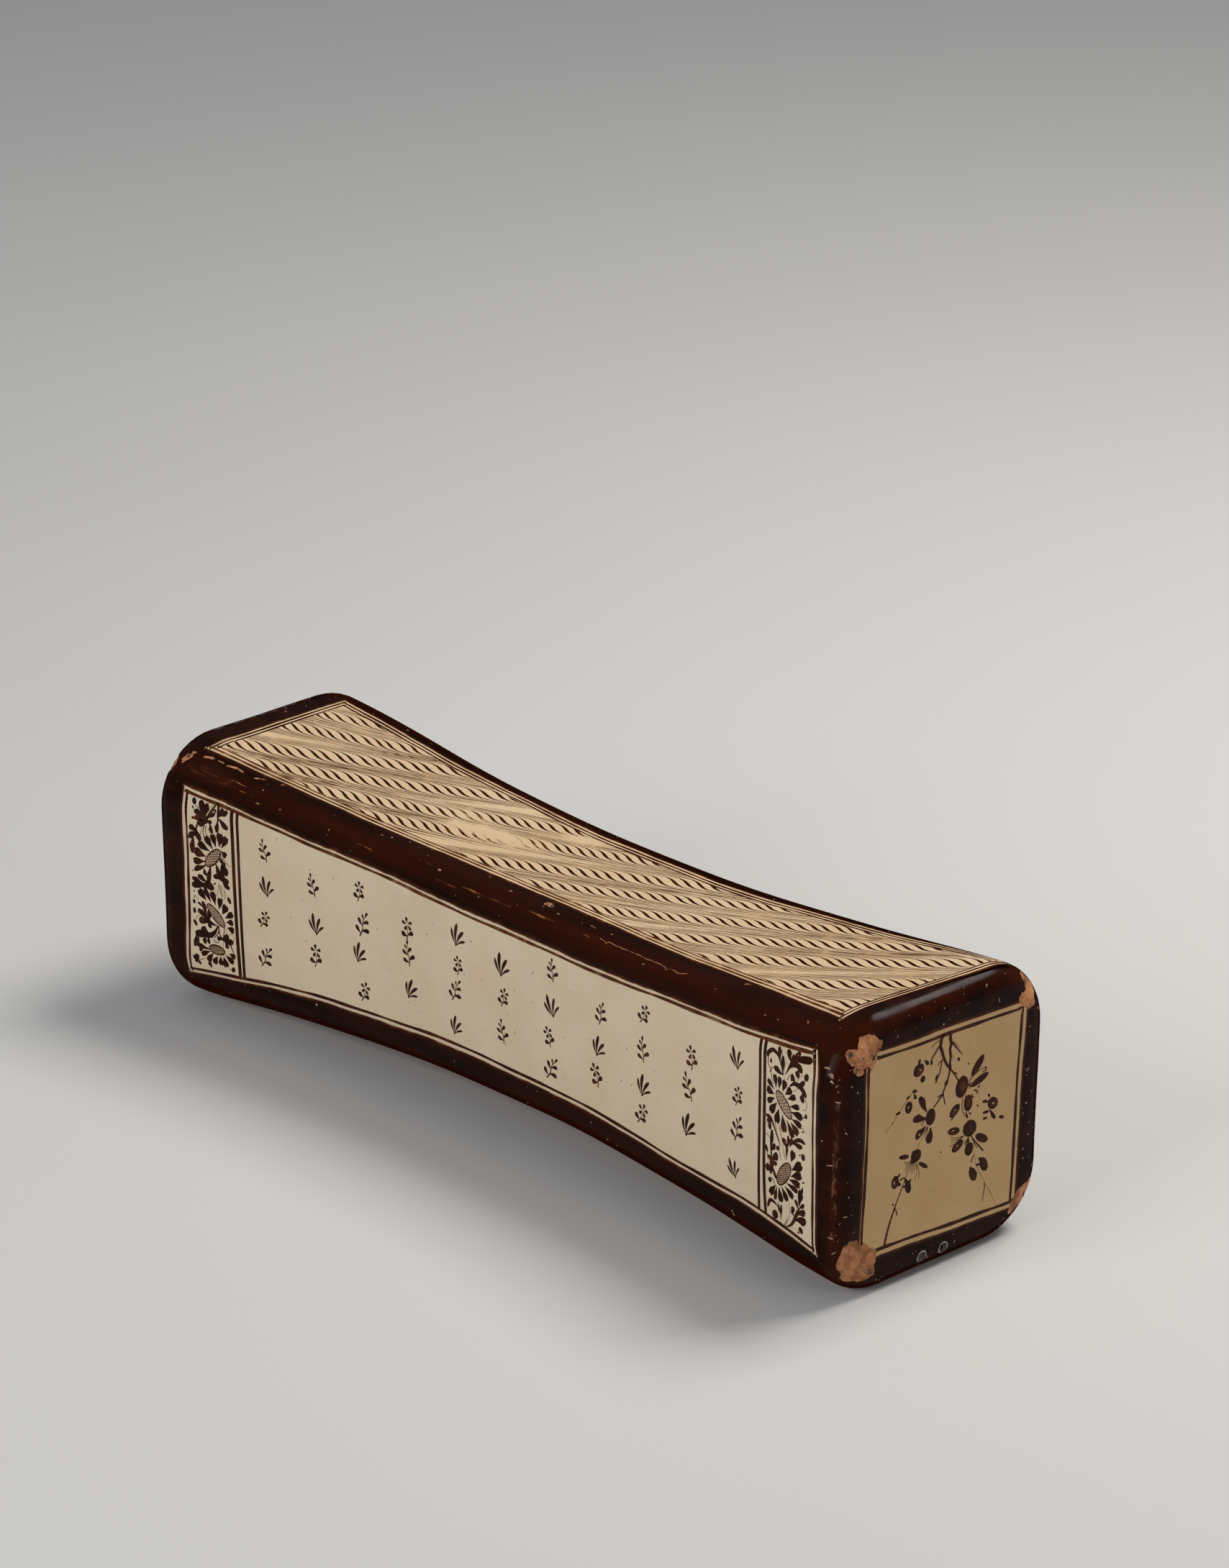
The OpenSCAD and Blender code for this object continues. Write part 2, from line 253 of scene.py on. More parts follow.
def inside_rim(y, z):
    """How far a place on an end lies inside the rim, seen square on."""
    middle = (height - foot_wear) / 2
    past_y = np.abs(y) - (end_half_width - corner_round)
    past_z = np.abs(z - middle) - ((height + foot_wear) / 2 - corner_round)
    outside = np.hypot(np.maximum(past_y, 0), np.maximum(past_z, 0))
    return corner_round - outside - np.minimum(np.maximum(past_y, past_z), 0)


def end_point(y, z, hand=1):
    """A place on the even face of an end, out over its rounded rim."""
    fall = np.clip(1 - inside_rim(y, z) / end_round, 0, 1)
    x = half_length - end_round * (1 - np.sqrt(1 - fall ** 2))
    return lean(np.stack([x * hand, y + 0 * x, z + 0 * x], -1))


def face_point(face, across, up):
    """A place on an even face: headrest by x and y, front by x and z, edge by x and run up from its ridge."""
    if face == "end":
        return end_point(across, up)
    width, top, base, radius = form_at(across)
    if face == "headrest":
        y, z = up, top - rounded_off(radius, width - np.abs(up))
    elif face == "front":
        y, z = rounded_off(radius, np.minimum(top - up, up - base)) - width, up
    else:
        turn = math.pi / 4 + up / radius
        y, z = radius - width - radius * np.cos(turn), top - radius + radius * np.sin(turn)
    return lean(np.stack([across + 0 * y, y + 0 * z, z + 0 * y], -1))


def chip(hand, *lobes):
    """A chip on an end's rim, of lobes by place across and up, half length, half breadth and turn."""
    ragged = 1.35
    middles = [Vector(end_point(np.array(y * MM), np.array(z * MM), hand)) for y, z, _, _, _ in lobes]
    centre = sum(middles, Vector()) / len(middles)
    spans = [(middle - centre).length + ragged * max(lobe[2:4]) * MM for middle, lobe in zip(middles, lobes)]
    return {"lobes": lobes, "middles": middles, "centre": centre, "reach": max(spans)}


def out_in(scar, place):
    """How far out a place lies in a chip: less than 1 inside its ragged outline."""
    if (place - scar["centre"]).length > scar["reach"]:
        return far_off
    nearest = far_off
    for middle, (_, _, long, short, turn) in zip(scar["middles"], scar["lobes"]):
        away = (place - middle) / MM
        spun = math.radians(turn)
        first = away.y * math.cos(spun) + away.z * math.sin(spun)
        second = away.z * math.cos(spun) - away.y * math.sin(spun)
        nearest = min(nearest, math.hypot(first / long, second / short, away.x / max(long, short)))
    shrink, coarse, fine = 0.05, 0.32 * noise.noise(place * 210), 0.09 * noise.noise(place * 620)
    return nearest + shrink + coarse + fine


def draw_to_outline(vert, scar):
    """Draws a point of the skin close to a chip's outline onto it; gives how far out it then lies."""
    step, most, least_slope = 0.15 * MM, 0.36 * MM, 40
    far = out_in(scar, vert.co)
    if 0.7 < far < 1.3:
        middle = min(scar["middles"], key=lambda lobe: (vert.co - lobe).length)
        way = vert.co - middle
        way = (way - vert.normal * way.dot(vert.normal)).normalized()
        slope = max((out_in(scar, vert.co + way * step) - far) / step, least_slope)
        if abs(1 - far) < slope * most:
            vert.co += way * (1 - far) / slope
            return 1.0
    return far


def break_away(shape, scar):
    """Breaks one chip out of the skin: a ragged hollow down to the clay."""
    cuts, depth, cell, rim = 5, 0.5 * MM, 3 * MM, 0.16
    reach = scar["reach"] + cell
    near = [edge for edge in shape.edges if all((v.co - scar["centre"]).length < reach for v in edge.verts)]
    bmesh.ops.subdivide_edges(shape, edges=near, cuts=cuts, use_grid_fill=True)
    shape.normal_update()
    placed = {vert: draw_to_outline(vert, scar) for vert in shape.verts}
    for face in list(shape.faces):
        levels = [placed[vert] for vert in face.verts]
        on = [vert for vert in face.verts if placed[vert] == 1]
        if min(levels) < 1 < max(levels) and len(on) == 2 and len(levels) == 4:
            if not any(on[1] in edge.verts for edge in on[0].link_edges):
                bmesh.utils.face_split(face, on[0], on[1])
    for face in shape.faces:
        levels = [placed[vert] for vert in face.verts]
        if min(levels) < 1 and sum(levels) < len(levels):
            face.material_index = 1
            face.smooth = False
    for vert, far in placed.items():
        if far < 1:
            share = min((1 - far) / rim, 1)
            rough = 0.22 * noise.noise(vert.co * 900) + 0.22 * noise.noise(vert.co * 330)
            vert.co -= vert.normal * depth * (0.70 + rough) * share


def unbroken(places, faces):
    """The faces of a sheet on an end that no chip has taken away, drawn up to the chips' outlines."""
    tries, stride = 3, 2.5
    lost = set()
    for number, place in enumerate(places):
        place = Vector(place)
        for scar in scars:
            far = out_in(scar, place)
            if 0.8 < far < 1.2:
                middle = min(scar["middles"], key=lambda lobe: (place - lobe).length)
                for _ in range(tries):
                    place = place + (place - middle).normalized() * (1 - out_in(scar, place)) * stride * MM
                places[number] = place
            if far < 1:
                lost.add(number)
    return [face for face in faces if not lost.issuperset(face)]


def drill(shape, y, z):
    """Opens one sample hole."""
    radius, snap, reach, cuts = bore / 2, 0.30 * MM, 2.2 * bore, 4
    centre = Vector(end_point(np.array(y), np.array(z)))
    near = [edge for edge in shape.edges if all((v.co - centre).length < reach for v in edge.verts)]
    bmesh.ops.subdivide_edges(shape, edges=near, cuts=cuts, use_grid_fill=True)
    for vert in shape.verts:
        away = Vector((0, vert.co.y - y, vert.co.z - z))
        if vert.co.x > 0 and abs(away.length - radius) < snap:
            vert.co += away.normalized() * (radius - away.length)
    gone = []
    for face in shape.faces:
        middle = face.calc_center_median()
        if middle.x > 0 and math.hypot(middle.y - y, middle.z - z) < radius:
            gone.append(face)
    bmesh.ops.delete(shape, geom=gone, context="FACES")


# Front top, front foot, back top and back foot of the right end, then two corners of the left end
scars = [chip(1, (-42.4, 109.0, 6.6, 5.0, 15), (-48.0, 106.6, 5.6, 3.6, -20), (-44.4, 104.0, 6.4, 5.2, 40)),
         chip(1, (-46.0, 18.6, 10.4, 7.6, -10), (-44.6, 12.4, 8.0, 5.4, -12), (-49.0, 23.0, 5.6, 4.6, 0)),
         chip(1, (46.0, 103.2, 5.8, 4.2, -30), (48.4, 108.5, 3.0, 6.0, 25)),
         chip(1, (46.8, 15.8, 9.4, 3.4, 35)),
         chip(-1, (-50.0, 108.0, 4.6, 5.6, 10)),
         chip(-1, (48.0, 13.0, 5.6, 4.0, 20))]


def new_tree(kind, name, sockets, results):
    """An empty node tree with named inputs and outputs, and the sockets of both."""
    tree = bpy.data.node_groups.new(name, kind)
    for way, labels in (("INPUT", sockets), ("OUTPUT", results)):
        for label, socket in labels.items():
            tree.interface.new_socket(label, in_out=way, socket_type="NodeSocket" + socket)
    return tree, tree.nodes.new("NodeGroupInput").outputs, tree.nodes.new("NodeGroupOutput").inputs


def use_group(tree, group, **values):
    """The result of a shader group, for the values given."""
    return add_node(tree, "ShaderNodeGroup", values, node_tree=group).outputs[0]


def carried(tree, label):
    """A value that the points of a mesh carry."""
    return add_node(tree, "ShaderNodeAttribute", attribute_name=label).outputs["Fac"]


def stretched(tree, where, *scale):
    """Coordinates that draw a texture out where their scale is small."""
    return add_node(tree, "ShaderNodeMapping", {"Vector": where, "Scale": scale}).outputs[0]


def fade_sheen(tree, shader, shine, gone):
    """Takes the sheen away where the surface turns aside, so that the pale floor doesn't veil it."""
    facing = add_node(tree, "ShaderNodeLayerWeight").outputs["Facing"]
    tree.links.new(between(tree, facing, 0.40, gone, shine, 0.0), shader.inputs["Specular IOR Level"])


def iron_brown_group():
    """Colour of fired iron: amber where it is thin, then red-brown, then nearly black."""
    amber, tan = (0.40, 0.17, 0.035, 1), (0.145, 0.048, 0.010, 1)
    red, black = (0.040, 0.0066, 0.0019, 1), (0.0092, 0.0027, 0.0011, 1)
    sockets, results = {"Thickness": "Float"}, {"Color": "Color"}
    tree, given, put_out = new_tree("ShaderNodeTree", "iron_brown", sockets, results)
    ramp = add_node(tree, "ShaderNodeValToRGB", {0: given["Thickness"]})
    stops = ramp.color_ramp.elements
    stops[0].color, stops[1].color = amber, black
    stops.new(0.30).color = tan
    stops.new(0.62).color = red
    tree.links.new(ramp.outputs[0], put_out["Color"])
    return tree


def speck_group():
    """Scattered pinholes and specks of the firing: 1 inside a speck."""
    sockets = {"Vector": "Vector", "Cells": "Float", "Size": "Float", "Share": "Float"}
    tree, given, put_out = new_tree("ShaderNodeTree", "fired_specks", sockets, {"Mask": "Float"})
    cells = add_node(tree, "ShaderNodeTexVoronoi", {"Vector": given["Vector"], "Scale": given["Cells"]})
    chance = add_node(tree, "ShaderNodeSeparateColor", {0: cells.outputs["Color"]})
    size = calc(tree, "MULTIPLY", given["Size"], chance.outputs[1])
    dot = calc(tree, "LESS_THAN", cells.outputs["Distance"], size)
    kept = calc(tree, "LESS_THAN", chance.outputs[0], given["Share"])
    tree.links.new(calc(tree, "MULTIPLY", dot, kept), put_out["Mask"])
    return tree


iron_brown = iron_brown_group()
fired_specks = speck_group()


def glaze_material():
    """Dark glossy glaze, red-brown over the ridges where it runs thin, streaked, pinholed and worn grey on
    the upright ridges, partly as a painted highlight.
    """
    pale, grey, rust = (0.40, 0.29, 0.22, 1), (0.20, 0.165, 0.16, 1), (0.40, 0.19, 0.10, 1)
    made, tree, shader, where = new_material("brown_glaze", 0.2)
    along = stretched(tree, where, 0.10, 1, 1)
    cloud = grain(tree, where, 22, 3)
    streaks = between(tree, grain(tree, along, 300, 3), 0.56, 0.74)
    thin = calc(tree, "MULTIPLY", calc(tree, "MULTIPLY", streaks, between(tree, cloud, 0.46, 0.60)), 0.16)
    worn = calc(tree, "ADD", calc(tree, "MULTIPLY", carried(tree, "ridge"), 0.20), thin)
    body = between(tree, grain(tree, along, 90, 4), 0.30, 0.72, 0.84, 1.05)
    brown = use_group(tree, iron_brown, Thickness=calc(tree, "SUBTRACT", body, worn))
    pinholes = use_group(tree, fired_specks, Vector=where, Cells=330, Size=0.17, Share=0.22)
    pinholes = calc(tree, "MULTIPLY", pinholes, between(tree, cloud, 0.40, 0.62))
    specks = use_group(tree, fired_specks, Vector=where, Cells=120, Size=0.08, Share=0.42)
    marks = calc(tree, "MAXIMUM", pinholes, specks)
    scratches = grain(tree, stretched(tree, where, 1, 0.22, 0.25), 900, 4)
    # Grey marks on the upright ridges: partly wear, partly a painted highlight where those edges catch the
    # light.
    scrapes_and_highlight = calc(tree, "MULTIPLY", between(tree, carried(tree, "scuff_and_highlight"), 0.80, 1.0),
                   between(tree, scratches, 0.44, 0.72, 0.0, 0.75))
    scrape_and_highlight_colour = blend(tree, between(tree, cloud, 0.48, 0.60), grey, rust)
    colour = blend(tree, marks, blend(tree, scrapes_and_highlight, brown, scrape_and_highlight_colour), pale)
    tree.links.new(colour, shader.inputs["Base Color"])
    fade_sheen(tree, shader, 0.05, 0.70)
    dull = between(tree, grain(tree, where, 75, 4), 0.3, 0.75, 0.13, 0.30)
    rough = calc(tree, "MAXIMUM", dull, calc(tree, "MULTIPLY", marks, 0.8))
    tree.links.new(rough, shader.inputs["Roughness"])
    ripple = calc(tree, "SUBTRACT", grain(tree, where, 260, 3, 0.5), calc(tree, "MULTIPLY", marks, 0.4))
    set_relief(tree, shader, ripple, 0.00010, 0.4)
    return made


def glazed_edges():
    """The finished skin: uneven, open under the base, chipped and drilled."""
    underside, facing_up, ridge_turn, upright = -0.9, 0.5, 0.25, 0.35
    rubbed_front, rubbed_back = -36 * MM, 22 * MM
    mesh = skin_mesh()
    shape = bmesh.new()
    shape.from_mesh(mesh)
    bmesh.ops.recalc_face_normals(shape, faces=shape.faces)
    shape.normal_update()
    places = np.array([vert.co for vert in shape.verts])
    for vert, rise in zip(shape.verts, unevenness(places)):
        vert.co += vert.normal * rise
    bare = []
    for face in shape.faces:
        face.smooth = True
        middle = face.calc_center_median()
        width = float(form_at(middle.x)[0])
        reach = min(width - abs(middle.y), half_length - abs(middle.x))
        if face.normal.z < underside and reach > glaze_under_base:
            bare.append(face)
    bmesh.ops.delete(shape, geom=bare, context="FACES")
    ridge, scuff_and_highlight = (shape.verts.layers.float.new(name) for name in ("ridge", "scuff_and_highlight"))
    for vert in shape.verts:
        on_left_rim = vert.co.x < end_round - half_length and vert.normal.z > facing_up
        vert[ridge] = min((1 - max(abs(part) for part in vert.normal)) / ridge_turn, 1)
        # Upright ridges carry pale scuffs that also stand as a painted highlight along the vertical corners.
        vert[scuff_and_highlight] = vert[ridge] * max(1 - abs(vert.normal.z) / upright, 0)
        if on_left_rim and rubbed_front < vert.co.y < rubbed_back:
            vert[scuff_and_highlight] = max(1.3 - abs(vert.normal.x + 0.12) / ridge_turn, 0)
    for scar in scars:
        break_away(shape, scar)
    for y in plug_places:
        drill(shape, y, plug_level)
    for vert in shape.verts:
        vert.co.z = max(vert.co.z, foot_clearance)
    shape.to_mesh(mesh)
    shape.free()
    return mesh


def put_in_scene(name, data):
    """A new object of the scene."""
    made = bpy.data.objects.new(name, data)
    bpy.context.scene.collection.objects.link(made)
    return made


def new_piece(name, mesh, slot, *stands_for):
    """Puts a finished mesh in the scene and ties it to the pillow."""
    made = put_in_scene(name, mesh)
    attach(made, "root")
    if stands_for:
        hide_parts(*stands_for)
    return made


def give_thickness(piece, thickness):
    """Backs a sheet with its own thickness, inwards."""
    coat = piece.modifiers.new("coat", "SOLIDIFY")
    coat.thickness = thickness
    coat.offset = -1


glaze_mesh = glazed_edges()
for finish in (glaze_material(), clay):
    glaze_mesh.materials.append(finish)
give_thickness(new_piece("glazed_edges", glaze_mesh, "brown_glaze", "edge_glaze"), glaze_thickness)


# Slip panels
# Five fields of ivory slip under clear glaze, on the headrest, the two long walls and the two ends.
# Poured slip, wiped to a slightly wavering outline that stands a little proud of the brown borders.
slip_lift = 0.12 * MM
slip_thickness = 0.35 * MM
panel_reach = 190 * MM
headrest_front, headrest_back = 14, 15.8
wall_top, wall_foot, wall_foot_right = 12.2, 18, 22.2
# Left and right outlines by place and slant
panel_sides = {"headrest": {"left": (-191.7 * MM, 0), "right": (200.6 * MM, 0.08)},
               "front": {"left": (-191.6 * MM, 0), "right": (200.6 * MM, -0.02)},
               "end": {"left": (-45 * MM, 0), "right": (42.2 * MM, 0.036)}}
# How far an outline bends at its corner, where the bend begins and how soon it grows, in millimetres
corner_bends = {("headrest", "left"): (-2.2, -36, -8), ("headrest", "right"): (-2.2, -30, -13),
                ("front", "left"): (-1.4, 97, 8), ("front", "right"): (-5, 95, 12)}
# One slip, lit and shaded by face: the headrest warmer as painted light, the front paler and cooler, the ends
# darker and browner as painted shade.
lit_and_shaded_slip_tints = {"headrest": (0.69, 0.52, 0.33, 1), "front": (0.68, 0.56, 0.40, 1),
              "end": (0.53, 0.353, 0.177, 1)}


def waver(along, seed):
    """A hand-drawn line's drift, in metres."""
    drift = 0.45 * np.sin(24 * along + 1.7 * seed) + 0.22 * np.sin(71 * along + 2.9 * seed + 1)
    return MM * (drift + 0.10 * np.sin(190 * along + 4.1 * seed))


def panel_limits(face, across):
    """Lower and upper outline of a panel at each place along it, drawn in towards its corners."""
    lift_start, lift_run = 110 * MM, 80 * MM
    end_foot, end_foot_slant, end_top, end_top_slant = 14.1 * MM, 0.049, 105.4 * MM, 0.034
    width, top, base, _ = form_at(across)
    # Shares of the way to each end: their powers draw an outline in near its corners, by so many millimetres
    to_left, to_right = (np.maximum(hand * across / panel_reach, 0) for hand in (-1, 1))
    if face == "headrest":
        low = (headrest_front + 2 * (to_left + to_right) ** 6) * MM - width
        high = width - (headrest_back + 6.5 * to_left ** 5 + 3 * to_right ** 5) * MM
    elif face == "front":
        rise = np.clip((across - lift_start) / lift_run, 0, 1)
        lifted = (wall_foot_right - wall_foot) * rise ** 2 * (3 - 2 * rise)
        low = base + (wall_foot - to_left ** 6 + lifted) * MM
        high = top - (wall_top + 1.9 * to_left ** 5 + 0.5 * to_right ** 5) * MM
    else:
        low, high = end_foot - end_foot_slant * across, end_top - end_top_slant * across
    return low + waver(across, 1), high + waver(across, 2)


def panel_edge(face, side, up):
    """Left or right outline of a panel at each height."""
    start, slant = panel_sides[face][side]
    bend, begin, reach = corner_bends.get((face, side), (0, 0, 1))
    turned_in = bend * MM * np.clip((up / MM - begin) / reach, 0, 1.4) ** 2
    return start + slant * up + turned_in + waver(up, 3 if side == "left" else 4)


def laid(face, across, up, rise, turned=False):
    """Places on the finished surface, raised by a height, with the outward direction at each."""
    step = 0.1 * MM
    here = face_point(face, across, up)
    along = face_point(face, across + step, up) - face_point(face, across - step, up)
    above = face_point(face, across, up + step) - face_point(face, across, up - step)
    out = np.cross(along, above)
    out /= np.linalg.norm(out, axis=-1, keepdims=True)
    if turned:
        here, out = here * (-1, -1, 1), out * (-1, -1, 1)
    return here + out * (unevenness(here) + rise)[..., None], out


def slip_group():
    """Fired slip under clear glaze: cloudy ivory with iron specks, rust flecks and a fine grain."""
    dusk, sand = (0.90, 0.83, 0.74, 1), (0.88, 0.85, 0.80, 1)
    iron, rust = (0.16, 0.09, 0.045, 1), (0.30, 0.13, 0.05, 1)
    sockets = {"Vector": "Vector", "Tint": "Color"}
    tree, given, put_out = new_tree("ShaderNodeTree", "fired_slip", sockets, {"Color": "Color"})
    where = given["Vector"]
    cloud = between(tree, grain(tree, where, 30, 4), 0.30, 0.72, 0.0, 0.55)
    fine = between(tree, grain(tree, where, 1100, 2), 0.25, 0.75, 0.0, 0.35)
    colour = blend(tree, cloud, given["Tint"], dusk, "MULTIPLY")
    colour = blend(tree, fine, colour, sand, "MULTIPLY")
    for cells, size, share, stain in ((260, 0.11, 0.20, iron), (75, 0.055, 0.22, rust)):
        specks = use_group(tree, fired_specks, Vector=where, Cells=cells, Size=size, Share=share)
        colour = blend(tree, calc(tree, "MULTIPLY", specks, 0.55), colour, stain)
    tree.links.new(colour, put_out["Color"])
    return tree


fired_slip = slip_group()


def slip_material(face):
    """Finish of one slip panel, tinted for its face, with the painted light and shade of that face."""
    made, tree, shader, where = new_material(face + "_slip", 0.34, 0.12)
    ground = use_group(tree, fired_slip, Vector=where, Tint=lit_and_shaded_slip_tints[face])
    tree.links.new(ground, shader.inputs["Base Color"])
    gloss = between(tree, grain(tree, where, 120, 4), 0.3, 0.7, 0.28, 0.42)
    tree.links.new(gloss, shader.inputs["Roughness"])
    set_relief(tree, shader, grain(tree, where, 420, 4), 0.00012, 0.6)
    return made


def new_sheet(name, places, faces):
    """A smooth mesh of the points that its faces use."""
    used = sorted({corner for face in faces for corner in face})
    number = {corner: place for place, corner in enumerate(used)}
    faces = [tuple(number[corner] for corner in face) for face in faces]
    mesh = new_mesh(name, [places[corner] for corner in used], faces)
    mesh.shade_smooth()
    return mesh


def slip_panel(name, face, turned, node):
    """One panel: a fine sheet over its part of the surface, with a wavering outline."""
    across_steps, up_steps = (170, 44) if face != "end" else (110, 112)
    u, v = np.meshgrid(np.linspace(0, 1, across_steps + 1), np.linspace(0, 1, up_steps + 1), indexing="ij")
    up = np.full(u.shape, height / 2 if face != "headrest" else 0)
    # The four outlines lean on each other, so they are drawn together in a few rounds
    for _ in range(3):
        across = panel_edge(face, "left", up) * (1 - u) + panel_edge(face, "right", up) * u
        low, high = panel_limits(face, across)
        up = low + (high - low) * v
    places, _ = laid(face, across, up, np.full(up.shape, slip_lift), turned)
    row = up_steps + 1
    corners = [i * row + j for i in range(across_steps) for j in range(up_steps)]
    faces = [(corner, corner + row, corner + row + 1, corner + 1) for corner in corners]
    places = places.reshape(-1, 3)
    mesh = new_sheet(name, places, unbroken(places, faces) if face == "end" else faces)
    mesh.materials.append(lit_and_shaded_slips[face])
    give_thickness(new_piece(name, mesh, "slip", node), slip_thickness)


lit_and_shaded_slips = {face: slip_material(face) for face in lit_and_shaded_slip_tints}
slip_panel("headrest_panel", "headrest", False, "top_slip_panel")
slip_panel("front_panel", "front", False, "front_slip_panel")
slip_panel("back_panel", "front", True, "back_slip_panel")
slip_panel("right_end_panel", "end", False, "right_end_slip_panel")
slip_panel("left_end_panel", "end", True, "left_end_slip_panel")


# Painted frames
# Freehand lines of iron brown round every panel, drawn over the slip with a loaded brush, and the soft
# rim where the thick glaze of the border thins out over the panel's edge.
stroke_level = 0.03
feather = 0.25
sides = ("foot", "top", "left", "right")
level_sides = sides[:2]
# Frame lines by inset and half breadth, and how far some of them are shifted
frame_sizes = {"headrest": ((2.0, 0.62), (4.0, 0.54)), "front": ((2.4, 0.70),), "end": ((2.9, 0.78),)}
frame_shifts = {("front", "top"): -0.6, ("end", "left"): -1.4}
line_ink = 0.90
# Lines drawn with a thinner, golden brown
thin_lines = {("headrest", "foot"): 0.56, ("front", "top"): 0.64}
# The glaze rim's rows from the border inwards, by inset and ink, and their heights
rim_rows = ((-0.9, 0.05, 0.45, 0.95), (1.0, 0.92, 0.40, 0.0))
broad_rims = {("front", "top"): ((-1.7, -0.8, 0.05, 0.6), (1.3, 1.0, 0.62, 0.0))}
rim_heights = (-0.09, 0.05, 0.03, -0.03)
# Faces that are painted alike, by the start of a piece's name, and whether they are turned about
twin_faces = {"front": (("front", False), ("back", True)), "end": (("right_end", False), ("left_end", True))}


def smooth(points, steps=6):
    """An even curve through a few points."""
    points = np.asarray(points, float)
    padded = np.vstack([2 * points[0] - points[1], points, 2 * points[-1] - points[-2]])
    curve = []
    for before, start, stop, after in zip(padded[:-3], padded[1:-2], padded[2:-1], padded[3:]):
        for share in np.arange(steps) / steps:
            bend = (2 * before - 5 * start + 4 * stop - after) * share ** 2
            twist = (3 * start - before - 3 * stop + after) * share ** 3
            curve.append(start + 0.5 * ((stop - before) * share + bend + twist))
    return np.array(curve + [points[-1]])


def strip_faces(count):
    """The faces of a strip three lanes wide, over rows of four points."""
    corners = [4 * step + lane for step in range(count - 1) for lane in range(3)]
    return [(corner, corner + 1, corner + 5, corner + 4) for corner in corners]


def brush_mark(path, half_widths, darkness=1.0, soft=feather):
    """A brush mark in flat millimetres: its points with their heights, its ink and its faces."""
    path = np.asarray(path, float)
    half = np.broadcast_to(np.asarray(half_widths, float), len(path))[:, None]
    ahead = np.gradient(path, axis=0)
    ahead /= np.linalg.norm(ahead, axis=1, keepdims=True) + 1e-9
    aside = np.stack([-ahead[:, 1], ahead[:, 0]], 1)
    outer = half + soft / 2
    inner = np.maximum(half - soft / 2, 0.3 * half)
    rows = np.stack([path + aside * width for width in (outer, inner, -inner, -outer)], 1)
    heights = np.tile([-stroke_level, stroke_level, stroke_level, -stroke_level], len(path))
    ink = (np.broadcast_to(darkness, len(path))[:, None] * (0.0, 1.0, 1.0, 0.0)).ravel()
    return np.column_stack([rows.reshape(-1, 2), heights]), ink, strip_faces(len(path))


def gathered(marks):
    """Several marks as one."""
    faces, first = [], 0
    for points, _, mark_faces in marks:
        faces += [tuple(first + corner for corner in face) for face in mark_faces]
        first += len(points)
    return np.vstack([mark[0] for mark in marks]), np.concatenate([mark[1] for mark in marks]), faces


def paint_material(face):
    """Iron brush work under the clear glaze: nearly black where loaded, amber where it runs thin."""
    made, tree, shader, where = new_material(face + "_paint", 0.34, 0.08)
    flow = between(tree, grain(tree, where, 110, 3), 0.28, 0.66, 0.54, 0.90)
    crumbs = between(tree, grain(tree, where, 1300, 3), 0.30, 0.70, 0.55, 1.35)
    lost = calc(tree, "MULTIPLY", carried(tree, "rubbed"), crumbs)
    load = calc(tree, "SUBTRACT", calc(tree, "MULTIPLY", carried(tree, "ink"), flow), lost)
    brown = use_group(tree, iron_brown, Thickness=load)
    # The slip around the marks takes the same tint, with its face's painted light and shade.
    ground = use_group(tree, fired_slip, Vector=where, Tint=lit_and_shaded_slip_tints[face])
    colour = blend(tree, between(tree, load, 0.12, 0.42), ground, brown)
    tree.links.new(colour, shader.inputs["Base Color"])
    fade_sheen(tree, shader, 0.08, 0.66)
    return made


def lay_marks(name, face, marks, turned=False, rubbed_at=None, lift=slip_lift, slot="brown_glaze",
              paint=None):
    """Lays flat marks onto a panel or edge as one piece of brush work."""
    points, ink, faces = gathered(marks)
    places, out = laid(face, points[:, 0] * MM, points[:, 1] * MM, lift + points[:, 2] * MM, turned)
    if face == "end":
        faces = unbroken(places, faces)
    rubbed = rubbed_at(points) if rubbed_at else np.zeros(len(points))
    mesh = new_mesh(name, places, faces, ink=ink, rubbed=rubbed)
    mesh.shade_smooth()
    mesh.normals_split_custom_set_from_vertices([tuple(way) for way in out])
    mesh.materials.append(paint or paints[face])
    new_piece(name, mesh, slot)


def lay_on_both(what, face, marks, **settings):
    """Lays the same marks on both long walls, or on both ends."""
    for start, turned in twin_faces[face]:
        lay_marks(start + what, face, marks, turned, **settings)


def outline_side(face, side, inset, run_in):
    """A line along one side of a panel, set in from its outline, in millimetres."""
    long_count, short_count = 90, 45
    middle = 0 if face == "headrest" else height / 2
    corners = np.array([panel_edge(face, hand, np.array(middle)) for hand in ("left", "right")])
    low, high = panel_limits(face, corners)
    if side not in level_sides:
        number, inward = (0, 1) if side == "left" else (1, -1)
        up = np.linspace(low[number] + run_in * MM, high[number] - run_in * MM, short_count)
        return np.column_stack([panel_edge(face, side, up) + inward * inset * MM, up]) / MM
    level = low if side == "foot" else high
    left, right = (panel_edge(face, hand, level[number]) for number, hand in enumerate(("left", "right")))
    across = np.linspace(left + run_in * MM, right - run_in * MM, long_count)
    low, high = panel_limits(face, across)
    up = low + inset * MM if side == "foot" else high - inset * MM
    return np.column_stack([across, up]) / MM


def frame_line(face, side, inset, half_width, seed):
    """One freehand line of a frame, with a slow drift and an uneven pressure."""
    run_on, drift = 0.4, 0.35
    path = outline_side(face, side, inset + frame_shifts.get((face, side), 0), inset - half_width - run_on)
    wide = 1 if side in level_sides else 0
    run = path[:, 1 - wide].copy()
    path[:, wide] += drift * waver(run * MM, seed + 5) / MM
    press = half_width * (1 + 0.16 * np.sin(0.11 * run + seed) + 0.10 * np.sin(0.37 * run + 2 * seed))
    return brush_mark(path, press, thin_lines.get((face, side), line_ink))


